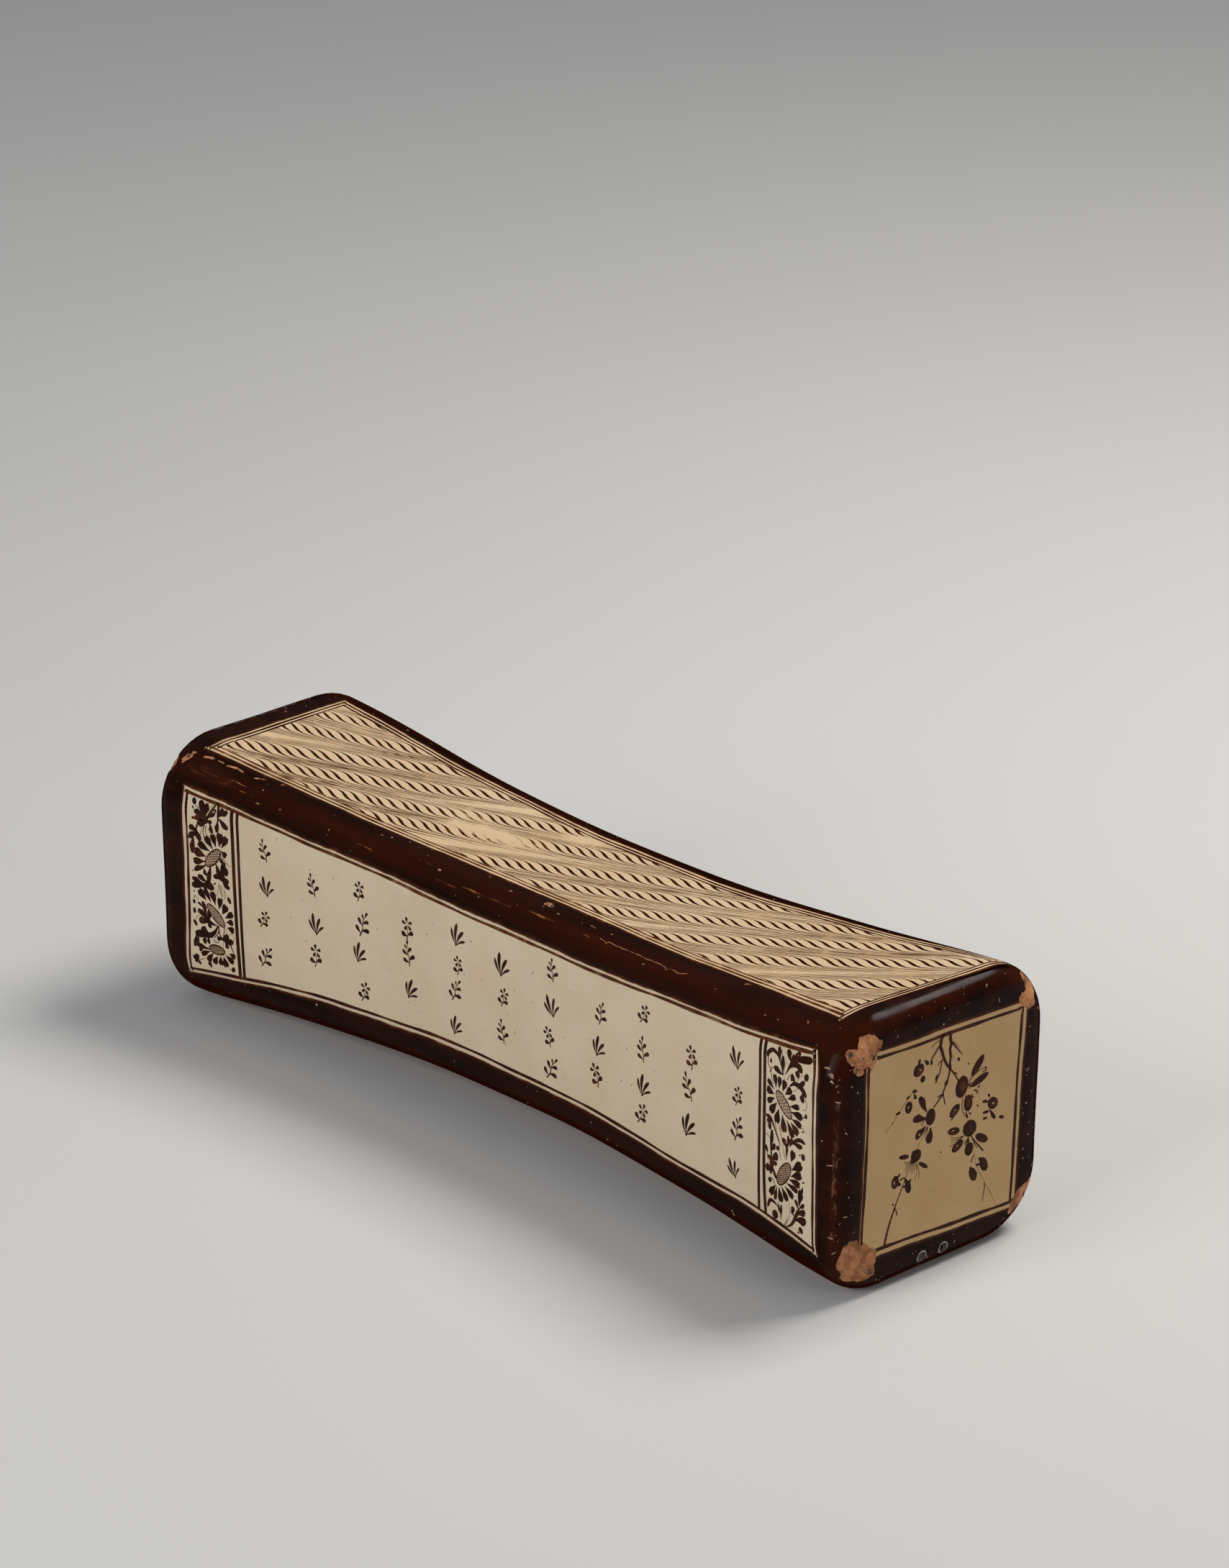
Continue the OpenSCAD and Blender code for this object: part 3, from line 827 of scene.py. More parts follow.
def soft_rim(face, side):
    """The thin amber rim of the glaze border where it runs onto the slip."""
    insets, ink = broad_rims.get((face, side), rim_rows)
    heights, run_on, wobble = rim_heights, 0.4, 0.25
    rows = [outline_side(face, side, inset, -run_on) for inset in insets]
    wide = 1 if side in level_sides else 0
    rows[-1][:, wide] += wobble * np.sin(0.9 * rows[-1][:, 1 - wide])
    if side not in ("foot", "right"):
        rows, heights, ink = rows[::-1], heights[::-1], ink[::-1]
    count = len(rows[0])
    points = np.column_stack([np.stack(rows, 1).reshape(-1, 2), np.tile(heights, count)])
    return points, np.tile(ink, count), [corners[::-1] for corners in strip_faces(count)]


def painted_frame(face):
    """All lines of one panel's frame."""
    marks = [soft_rim(face, side) for side in sides]
    for inset, half_width in frame_sizes[face]:
        marks += [frame_line(face, side, inset, half_width, seed) for seed, side in enumerate(sides)]
    return marks


paints = {face: paint_material(face) for face in lit_and_shaded_slip_tints}
lay_marks("headrest_frame", "headrest", painted_frame("headrest"))
lay_on_both("_frame", "end", painted_frame("end"))


# Headrest rope pattern
# Slanting bands of twisted rope: fat strokes across each band, whose tails run out into bundles of fine
# lines between the bands. Painted freehand, and rubbed away by use near the middle.
rope_pitch = 20
tail_length = 46
stroke_spacing = 5.4
stroke_looseness = 0.35
rope_seed = 7
rope_inset = 4.5
# Where each band meets lines 30 mm in front of and behind the middle of the headrest
rope_reach = 30
rope_bands = [(-262, -168), (-232, -136), (-184, -109), (-157, -74), (-129, -24), (-99, 22), (-43, 59),
              (-9, 93), (28, 131), (71, 162), (108, 196), (154, 236), (193, 272)]


def rope_stroke():
    """One stroke: fat and dark across its band, with long thin tails out into the bundles on both sides."""
    tail_half, belly_half, belly_run = 0.195, 0.57, 3.9
    tail_ink, belly_ink, dark_run = 0.64, 0.36, 6
    crook, crook_run, fan = 0.225, 3.6, 0.305
    steps = np.linspace(-1, 1, 19)
    run = tail_length * np.sign(steps) * np.abs(steps) ** 2.1
    across = -rope_pitch * (crook * np.tanh(run / crook_run) + fan * run / tail_length)
    half = tail_half + belly_half * np.exp(-((run - 0.5) / belly_run) ** 2)
    half *= np.clip(6 * (1 - np.abs(steps)), 0.3, 1)
    ink = tail_ink + belly_ink * np.exp(-((run - 1.5) / dark_run) ** 2)
    return brush_mark(np.column_stack([run, across]), half, ink, 0.2)


def new_mark(name, marks):
    """A loose mark for the node trees to set out."""
    points, ink, faces = gathered(marks)
    return put_in_scene(name, new_mesh(name, points, faces, ink=ink))


def marks_tree(name, **sockets):
    """An empty geometry node tree that takes a mark, its paint and some named values."""
    sockets = {"Geometry": "Geometry", "Mark": "Object", "Paint": "Material", **sockets}
    return new_tree("GeometryNodeTree", name, sockets, {"Geometry": "Geometry"})


def named_value(tree, label):
    """A value that each point carries."""
    values = {"Name": label}
    return add_node(tree, "GeometryNodeInputNamedAttribute", values, data_type="FLOAT").outputs[0]


def set_down(tree, given, put_out, points, turn, size):
    """Sets the mark on every point, makes it real and paints it."""
    mark = add_node(tree, "GeometryNodeObjectInfo", {"Object": given["Mark"]}).outputs["Geometry"]
    values = {"Points": points, "Instance": mark, "Rotation": turn, "Scale": size}
    copies = add_node(tree, "GeometryNodeInstanceOnPoints", values).outputs[0]
    real = add_node(tree, "GeometryNodeRealizeInstances", {"Geometry": copies}).outputs[0]
    painted = add_node(tree, "GeometryNodeSetMaterial", {"Geometry": real, "Material": given["Paint"]})
    tree.links.new(painted.outputs[0], put_out[0])


def rope_tree():
    """Strokes at an even spacing along each band, turned with it and spread to meet the next."""
    tree, given, put_out = marks_tree("rope_bands", Spacing="Float", Looseness="Float", Seed="Int")
    bands = add_node(tree, "GeometryNodeMeshToCurve", {"Mesh": given["Geometry"]}).outputs[0]
    values = {"Curve": bands, "Length": given["Spacing"]}
    stations = add_node(tree, "GeometryNodeResampleCurve", values, mode="LENGTH").outputs[0]
    stray = calc(tree, "MULTIPLY", given["Looseness"], -1.0)
    values = {2: stray, 3: given["Looseness"], "Seed": given["Seed"]}
    drift = add_node(tree, "FunctionNodeRandomValue", values, data_type="FLOAT").outputs[1]
    offset = add_node(tree, "ShaderNodeCombineXYZ", {0: drift, 1: drift}).outputs[0]
    loose = add_node(tree, "GeometryNodeSetPosition", {"Geometry": stations, "Offset": offset}).outputs[0]
    way = add_node(tree, "GeometryNodeInputTangent").outputs[0]
    turned = add_node(tree, "FunctionNodeAlignRotationToVector", {"Vector": way}, axis="X", pivot_axis="Z")
    size = add_node(tree, "ShaderNodeCombineXYZ", {0: 1.0, 1: named_value(tree, "spread"), 2: 1.0}).outputs[0]
    set_down(tree, given, put_out, loose, turned.outputs[0], size)
    return tree


def run_tree(tree, start, settings):
    """Runs a node tree over a scratch mesh and gives back the flat marks that it sets out."""
    scratch = put_in_scene("scratch", start)
    laid_out = scratch.modifiers.new("marks", "NODES")
    laid_out.node_group = tree
    for socket in tree.interface.items_tree:
        if socket.in_out == "INPUT" and socket.name in settings:
            laid_out[socket.identifier] = settings[socket.name]
    graph = bpy.context.evaluated_depsgraph_get()
    result = bpy.data.meshes.new_from_object(scratch.evaluated_get(graph), depsgraph=graph)
    bpy.data.objects.remove(scratch)
    points = np.array([vert.co for vert in result.vertices])
    ink = np.zeros(len(points), np.float32)
    result.attributes["ink"].data.foreach_get("value", ink)
    return points, ink, [tuple(face.vertices) for face in result.polygons]


def rope_lines():
    """The bands' middle lines, run on past the panel, with the spread that fills the space between them."""
    middles = [sum(band) / 2 for band in rope_bands]
    gaps = np.gradient(middles)
    points, spreads, edges = [], [], []
    for number, (near, far) in enumerate(rope_bands):
        start, stop = np.array((near, -rope_reach), float), np.array((far, rope_reach), float)
        way = (stop - start) / np.linalg.norm(stop - start)
        edges.append((len(points), len(points) + 1))
        points += [(*(start - way * tail_length), 0), (*(stop + way * tail_length), 0)]
        spreads += [gaps[number] * way[1] / rope_pitch] * 2
    return new_mesh("rope_lines", points, [], edges, spread=spreads)


def trimmed(mark, face, inset):
    """Cuts marks off where they cross a line set in from the panel's outline."""
    points, ink, faces = mark

    def limits(points):
        left, right = (panel_edge(face, side, points[:, 1] * MM) / MM for side in ("left", "right"))
        low, high = (limit / MM for limit in panel_limits(face, points[:, 0] * MM))
        middle = np.column_stack([left + right, low + high]) / 2
        return middle, np.column_stack([right - left, high - low]) / 2 - inset

    middle, reach = limits(points)
    square = (points[:, :2] - middle) / reach
    shape = bmesh.new()
    layer = shape.verts.layers.float.new("ink")
    corners = []
    for (x, y), z, load in zip(square, points[:, 2], ink):
        corner = shape.verts.new((x, y, z))
        corner[layer] = load
        corners.append(corner)
    for face_corners in faces:
        shape.faces.new([corners[number] for number in face_corners])
    for outward in ((-1, 0, 0), (1, 0, 0), (0, -1, 0), (0, 1, 0)):
        every = shape.verts[:] + shape.edges[:] + shape.faces[:]
        bmesh.ops.bisect_plane(shape, geom=every, plane_co=outward, plane_no=outward, clear_outer=True)
    shape.verts.index_update()
    kept = np.array([vert.co for vert in shape.verts])
    load = np.array([vert[layer] for vert in shape.verts])
    kept_faces = [tuple(vert.index for vert in cell.verts) for cell in shape.faces]
    shape.free()
    square = kept[:, :2].copy()
    # The outlines lean on each other, so the way back to millimetres takes a few rounds
    for _ in range(4):
        middle, reach = limits(kept)
        kept[:, :2] = square * reach + middle
    return kept, load, kept_faces


def rubbed_headrest(points):
    """How far the pattern is rubbed away, by a few worn spots."""
    # Worn spots by place, half length, half breadth and wear
    spots = ((-50, -4, 19, 4.5, 1.1), (-25, 20, 8, 5, 0.55), (-70, 2, 10, 3, 0.6))
    slope = 0.25
    rubbed = np.zeros(len(points))
    for x, y, long, short, amount in spots:
        along = points[:, 0] - x
        far = (along / long) ** 2 + ((points[:, 1] - y - slope * along) / short) ** 2
        rubbed = np.maximum(rubbed, amount * np.exp(-far))
    return rubbed


stroke = new_mark("rope_stroke", [rope_stroke()])
rope_settings = {"Mark": stroke, "Paint": paints["headrest"], "Spacing": stroke_spacing,
                 "Looseness": stroke_looseness, "Seed": rope_seed}
rope = run_tree(rope_tree(), rope_lines(), rope_settings)
bpy.data.objects.remove(stroke)
lay_marks("headrest_rope", "headrest", [trimmed(rope, "headrest", rope_inset)], rubbed_at=rubbed_headrest)


# Flower borders
# An upright border at each end of both long walls: seed heads hatched like pine cones, ringed by split
# petals and packed round with lobed leaves, buds and thin stems. Painted freehand between double lines.
def round_tip(run, shoulder, reach):
    """How a mark closes to a round tip past its shoulder."""
    return np.sqrt(np.where(run > shoulder, np.clip(1 - ((run - shoulder) / reach) ** 2, 0, 1), 1))


def lobe(bend=0.0, tip=0.0):
    """A club-shaped dab, narrow where the brush lands and round where it lifts."""
    foot, belly, fullest = 0.10, 0.40, 0.75
    run = np.linspace(0, 1, 9)
    swell = foot + belly * np.sin(np.minimum(run / fullest, 1) * math.pi / 2) ** 1.6
    path = np.column_stack([run, tip * run ** 1.5 + bend * np.sin(math.pi * run)])
    return path, swell * round_tip(run, 0.72, 0.285)


def split_petal_marks():
    """A petal of two dabs that part at the tip."""
    parting, fullness, soft = 0.23, 0.60, 0.09
    marks = []
    for side in (-1, 1):
        path, swell = lobe(0.0, parting * side)
        marks.append(brush_mark(path, fullness * swell, 1.0, soft))
    return marks


def oval_mark(darkness=1.0):
    """A round dab."""
    run = np.linspace(-0.5, 0.5, 11)
    half = np.sqrt(np.clip(0.25 - run ** 2, 0, 1))
    return brush_mark(np.column_stack([run, 0 * run]), half, darkness, 0.10)


def scatter_tree():
    """The same mark on every point, by the turn, length and breadth that the point carries."""
    tree, given, put_out = marks_tree("set_out_marks")
    spin = add_node(tree, "ShaderNodeCombineXYZ", {2: named_value(tree, "turn")}).outputs[0]
    turn = add_node(tree, "FunctionNodeEulerToRotation", {0: spin}).outputs[0]
    sizes = {0: named_value(tree, "length"), 1: named_value(tree, "breadth"), 2: 1.0}
    size = add_node(tree, "ShaderNodeCombineXYZ", sizes).outputs[0]
    set_down(tree, given, put_out, given["Geometry"], turn, size)
    return tree


set_out_marks = scatter_tree()


def set_out(mark, spots, paint):
    """Copies of one mark, at spots of x, y, turn in degrees, length and breadth."""
    x, y, turn, length, breadth = np.array(spots, float).T
    flat = np.column_stack([x, y, 0 * x])
    start = new_mesh("spots", flat, [], turn=np.radians(turn), length=length, breadth=breadth)
    return run_tree(set_out_marks, start, {"Mark": mark, "Paint": paint})


def aimed(dabs, fullness=1.0):
    """Spots for dabs given by foot, tip and breadth."""
    spots = []
    for x, y, tip_x, tip_y, breadth in dabs:
        turn = math.degrees(math.atan2(tip_y - y, tip_x - x))
        spots.append((x, y, turn, math.hypot(tip_x - x, tip_y - y), fullness * breadth))
    return spots


def toward(degrees, far):
    """A step of some length in a direction."""
    return far * np.array((math.cos(math.radians(degrees)), math.sin(math.radians(degrees))))


def axes_at(degrees):
    """The two directions of something that is turned."""
    return np.array([toward(degrees, 1), toward(degrees + 90, 1)])


def seed_head(x, y, tilt, half_long, half_short, lines):
    """The outline of a seed head and the hatching inside it."""
    rim_half, hatch_half, hatch_reach = 0.34, 0.20, 0.72
    centre = np.array((x, y))
    turns = np.radians(np.linspace(0, 360, 31))
    spun = axes_at(tilt)
    rim = np.column_stack([half_long * np.cos(turns), half_short * np.sin(turns)]) @ spun + centre
    marks = [brush_mark(rim, rim_half, 0.95)]
    for slant in (28, -52):
        way = toward(slant, 1) * (half_long, half_short)
        beside = toward(slant + 90, 1) * (half_long, half_short)
        for level in np.linspace(-hatch_reach, hatch_reach, lines):
            reach = math.sqrt(1 - level ** 2)
            ends = np.array([level * beside - reach * way, level * beside + reach * way]) @ spun + centre
            marks.append(brush_mark(np.linspace(ends[0], ends[1], 4), hatch_half, 0.82))
    return marks


def tapered(path, half_width):
    """A long curved leaf: a thin foot that swells to a round tip."""
    foot, belly, fullest = 0.28, 0.72, 0.7
    run = smooth(path)
    share = np.linspace(0, 1, len(run))
    half = half_width * (foot + belly * np.sin(np.minimum(share / fullest, 1) * math.pi / 2) ** 1.4)
    return brush_mark(run, half * round_tip(share, 0.80, 0.205))


def thin_line(path, half_width, darkness):
    """A stem or tendril."""
    run = smooth(path)
    return brush_mark(run, np.linspace(half_width, 0.7 * half_width, len(run)), darkness)


def wall_limits(x):
    """Lower and upper outline of a long wall's panel at one place, in millimetres."""
    return (float(limit) / MM for limit in panel_limits("front", np.array(x * MM)))


petal_fullness, leaf_fullness = 1.22, 1.25
divider_foot, divider_top = 2.3, 1.9
# Seed heads by place, tilt, half length, half breadth and hatching lines
heads = [
    (-173.9, 75.8, 46, 6.2, 2.5, 6), (-173.4, 49.2, -40, 6.2, 2.4, 6), (-173.6, 33, 2, 4.5, 2.1, 6),
    (177.7, 78.7, -40, 6.4, 2.9, 6), (178.8, 49, 55, 6.7, 2.9, 8)
]
# Petals by foot, tip and breadth: upper left head, middle left, lower left, upper right, lower right
petals = [
    (-173.9, 80, -178, 84.8, 3.5), (-172, 81.4, -174, 86.8, 3.5), (-169.9, 82, -169.2, 88.4, 4),
    (-168.6, 81.8, -165.4, 87.5, 3.2), (-175.8, 78.4, -182.4, 80.8, 3.6), (-178, 75.4, -184.6, 76.6, 4.2),
    (-178.6, 73, -185.4, 71.6, 3.2), (-169, 80.2, -166, 78.4, 3), (-178.8, 54.8, -182.9, 58.9, 3.8),
    (-176, 54.6, -179.4, 60, 2.8), (-173.5, 54, -175.2, 59.9, 3.4), (-171.5, 52.6, -170.4, 58, 3),
    (-169.6, 50.8, -167, 55.5, 3.5), (-168, 49.4, -163.4, 52.6, 2.8), (-167.4, 47.6, -163.4, 48.4, 2.8),
    (-167, 45.2, -163, 44.6, 3), (-177.6, 31.4, -182.8, 28.6, 2.4), (-176, 30.8, -179.2, 26.4, 2.8),
    (-173.4, 30, -175.6, 26.2, 2.8), (-171.6, 30.6, -171.6, 26.4, 2.9), (-170, 30.8, -168.2, 26.4, 3.3),
    (-168.8, 31.8, -164, 29.4, 2.9), (-166.6, 33, -162.8, 32.4, 2.6), (171.2, 83, 166.8, 85.8, 2.4),
    (171.2, 80.8, 166.4, 81.8, 3.4), (171.6, 79.4, 167, 76.3, 2.5), (173, 77.8, 168.9, 72.4, 3.3),
    (174.4, 75.6, 173, 69.2, 3.6), (176.8, 74, 178.4, 67, 3.8), (179.8, 72.8, 184.2, 66.8, 3.3),
    (182.4, 72.8, 187.4, 69.4, 3.6), (182.8, 74.6, 189.4, 73.6, 2.9), (182.6, 77.4, 189.8, 77.6, 3.3),
    (181.6, 79.4, 187.7, 81.4, 2.4), (180, 82, 185.2, 85, 2.5), (178.4, 83.4, 182.4, 87.2, 3.1),
    (176.6, 84.2, 178.4, 89.4, 3.1), (174.2, 84.2, 174.8, 89.7, 2.6), (172.4, 84, 171.4, 89.6, 2.7),
    (183.2, 56, 184.8, 61.2, 3.4), (184, 52.8, 190.2, 57.3, 4), (183.4, 49.8, 190.2, 52.7, 3.5),
    (182.4, 48, 189.4, 48, 3.3), (180.4, 45.8, 188.2, 44.8, 2.5), (179.6, 44, 185.4, 41, 2.9),
    (177.4, 43, 181.6, 38.2, 3.1), (175.8, 42, 177.6, 36.2, 3.4), (174.4, 42, 173.4, 35.6, 2),
    (173.6, 42, 170, 37, 3.1)
]
# Leaf lobes by foot, tip and breadth: left border from the top down, then right border
leaves = [
    (-178, 93.5, -179.8, 100.6, 3.3), (-177.5, 94, -176, 99.7, 2.5), (-177.4, 92.6, -171.2, 98, 2.3),
    (-178.2, 94.4, -183.9, 95.6, 2.5), (-178, 92.5, -183.8, 92.7, 2.6), (-182.8, 91.9, -185.6, 91.8, 1.2),
    (-177, 92.2, -182.2, 90.2, 3.2), (-177.4, 91.6, -173.8, 91.9, 1.8), (-175.2, 91.6, -174.6, 86.9, 2.1),
    (-170, 95.6, -166.8, 99.4, 2.4), (-169.6, 96, -164.5, 98.9, 2), (-170.2, 95, -165.1, 90.8, 2.6),
    (-170.4, 94, -171.8, 88.4, 2.1), (-170, 96, -170, 101.6, 1.2), (-182.6, 86.8, -187.3, 87.5, 2.5),
    (-182.8, 86.6, -188, 82.2, 2.3), (-183.6, 86.6, -181.6, 81.8, 2.6), (-185.2, 83.8, -186.5, 75.3, 2.5),
    (-169.8, 68.8, -166.7, 75.2, 2.4), (-169.6, 69.6, -165.1, 71.5, 3.2), (-167.6, 72.4, -169.3, 73.4, 1.4),
    (-168.8, 68, -174, 67.8, 2.1), (-169.8, 67.2, -165.2, 66.2, 2.6), (-170, 67.6, -165.3, 63.2, 2.4),
    (-172.6, 73.8, -170.6, 68, 2.2), (-170.2, 77.2, -168.7, 74.6, 2), (-175.6, 72.2, -177.6, 63.4, 2.3),
    (-178.2, 71.4, -185.3, 67.9, 2.1), (-179.6, 69.6, -178.9, 66.4, 1.9), (-177.8, 63.6, -182.9, 65.9, 2.3),
    (-177.4, 63, -187, 60.6, 3), (-179.6, 62.2, -186.4, 63.9, 2.2), (-178.2, 64, -180, 60, 2.5),
    (-178.2, 64.4, -175.2, 60.2, 3.4), (-173, 44.6, -179.6, 45.4, 1.8), (-177.6, 45.6, -176.9, 50.2, 2.3),
    (-177.6, 46, -183.6, 49.8, 2.3), (-178.8, 47.2, -180.5, 53.9, 2.2), (-180.8, 51.2, -183.7, 52.9, 1.1),
    (-177.8, 45.5, -183.6, 45, 3), (-178.4, 45.4, -177.2, 42.2, 1.9), (-178, 39.6, -182.2, 41.5, 3.3),
    (-178.4, 38.4, -186, 38.4, 3), (-185.2, 38.2, -187, 31.4, 1.6), (-184.4, 37.6, -184.9, 32.8, 1.3),
    (-180.4, 38, -181.2, 34.2, 2), (-178.8, 38.4, -178.5, 34.6, 1.6), (-177.8, 32.2, -185.6, 32.9, 1.9),
    (-181.6, 32.3, -184.2, 30.4, 1.7), (-170.2, 39.8, -173.4, 38.5, 1.9), (-170.4, 38.4, -166.2, 41.1, 2.4),
    (-170.6, 38.4, -163.8, 38.4, 2.7), (-165.4, 38, -164.8, 40.2, 1.4), (-168.8, 38, -167.3, 35.2, 1.8),
    (-184.4, 25.2, -187.4, 27.1, 2.1), (-184.4, 25.2, -185.5, 28.1, 1.9), (-184.6, 25.6, -184.1, 23.4, 1.4),
    (-184.6, 25.6, -186.9, 24.6, 1.6), (-177.8, 26.8, -177.6, 23.7, 1.1), (-177.6, 26, -179.2, 25, 1.4),
    (176.7, 91.4, 171, 93.1, 2.4), (176.8, 91, 176.6, 99, 2.1), (174.8, 96.4, 173.3, 101.8, 1.9),
    (168.8, 95.8, 168.6, 93.6, 1.2), (181.2, 98.6, 178.7, 102.6, 2.2), (181.6, 98.4, 185.8, 102.9, 2.4),
    (186.4, 97.2, 185.4, 93.9, 2.6), (182, 90.8, 184.4, 92.9, 3.1), (186, 89.4, 191.2, 93.2, 1.9),
    (189.6, 88.4, 188.9, 84.4, 2.7), (170.2, 69, 166.8, 68.3, 1.9), (169, 68.8, 168.4, 64.8, 2),
    (180.5, 55.9, 180.4, 62.8, 1.5), (180.6, 61, 177.7, 64.5, 2.4), (181, 61.6, 181.4, 66.5, 1.6),
    (181.6, 62.6, 184, 66.2, 1.6), (183.6, 64.2, 190.3, 64.5, 2), (170.2, 55.6, 173, 59.3, 2),
    (170, 55, 170.9, 65, 1.9), (171, 51.8, 174.8, 55.4, 2.8), (170.8, 51.2, 174.2, 51.2, 1.8),
    (170.8, 51.4, 168.5, 53.6, 1.6), (171.4, 49.2, 166.7, 47.9, 2.8), (170.8, 49, 169.7, 45.9, 1.6),
    (171.2, 49.4, 173.5, 44.9, 1.5), (189.4, 39, 190.7, 46.2, 2.9), (190.6, 43.6, 191.4, 47.8, 1.1),
    (189.2, 37.4, 186.9, 41.1, 1.8), (189.4, 38, 192.8, 40.6, 1.6), (188.2, 34.8, 193.6, 37.6, 2.5),
    (187, 32, 194.2, 33.4, 3.2), (186.8, 33.4, 184.2, 35, 1.1), (177.5, 28.2, 177.9, 35, 1.3),
    (175.4, 35.4, 176.4, 31.2, 1.3)
]
# Long curved leaves by their points and half breadth
long_leaves = [
    (((175.6, 94.6), (173.2, 98.2), (169.5, 99.3), (167, 97.4), (166.5, 95.4)), 0.95),
    (((181, 96.8), (184.8, 100.4), (189, 101.7), (193.2, 102.6)), 1.45),
    (((179.8, 95), (183.2, 97.8), (186.4, 98.2), (188.8, 96.4)), 1.2),
    (((181.2, 88.2), (184.6, 90.4), (189, 90), (192.2, 87.2)), 1.35),
    (((175, 61.4), (171.4, 67.2), (169, 70), (166, 70)), 0.8),
    (((181.8, 62), (184.8, 65.4), (188.6, 67.5), (192.2, 67.2)), 0.95),
    (((176.2, 33), (173.2, 34.3), (170.2, 34.2), (168.6, 30.6)), 0.85),
    (((181.2, 26.8), (184.6, 29.2), (187, 33.2), (189.6, 38.4)), 0.95),
    (((178.2, 92), (180.2, 95.2), (181.6, 98.4), (181.8, 101.8)), 0.75),
    (((-172.4, 44.6), (-174.6, 41), (-177.6, 38.8), (-182, 38.4)), 1.3)
]
# Buds and small dabs by place, turn, length and breadth
buds = [
    (-178.4, 92.6, 10, 5, 4.6), (-169.4, 68.4, 30, 4.6, 4.2), (-178.6, 46, 0, 3.4, 2.6),
    (-184.4, 99.2, -60, 3.2, 2.4), (-184.8, 96.4, -50, 1.7, 0.9), (-186, 52.5, 90, 2.2, 1.6),
    (-186, 48.3, 90, 2.8, 1.7), (-185.8, 42.6, -55, 3.2, 1.9), (-185.7, 57.4, 90, 1.1, 0.8),
    (-165.2, 58.4, -60, 3.4, 2), (-164.4, 26.2, 60, 2.8, 2.1), (-173.4, 64, 40, 1.8, 0.8),
    (-186, 66.8, 0, 1.1, 0.6), (-183.4, 84.6, 40, 3, 2.4), (170.9, 50.6, 80, 3.8, 3),
    (167.2, 55.8, -65, 3.2, 1.8), (174.5, 58.6, 30, 2.5, 2.1), (169.8, 43, 20, 2.4, 2.3),
    (191, 61, 80, 3.1, 2.6), (191.6, 50.2, 20, 1.7, 0.8), (185.3, 36, 60, 2.9, 2.6),
    (190.8, 29, -30, 3.2, 2.6), (189.3, 27.5, 30, 1.3, 1), (173.7, 29.3, 30, 4.2, 3.7),
    (191.7, 95.7, 60, 3.4, 2.7), (192.2, 79.2, 80, 2.2, 1.8), (190.4, 71.8, 40, 1.7, 0.7),
    (170, 92, 0, 1, 0.5)
]
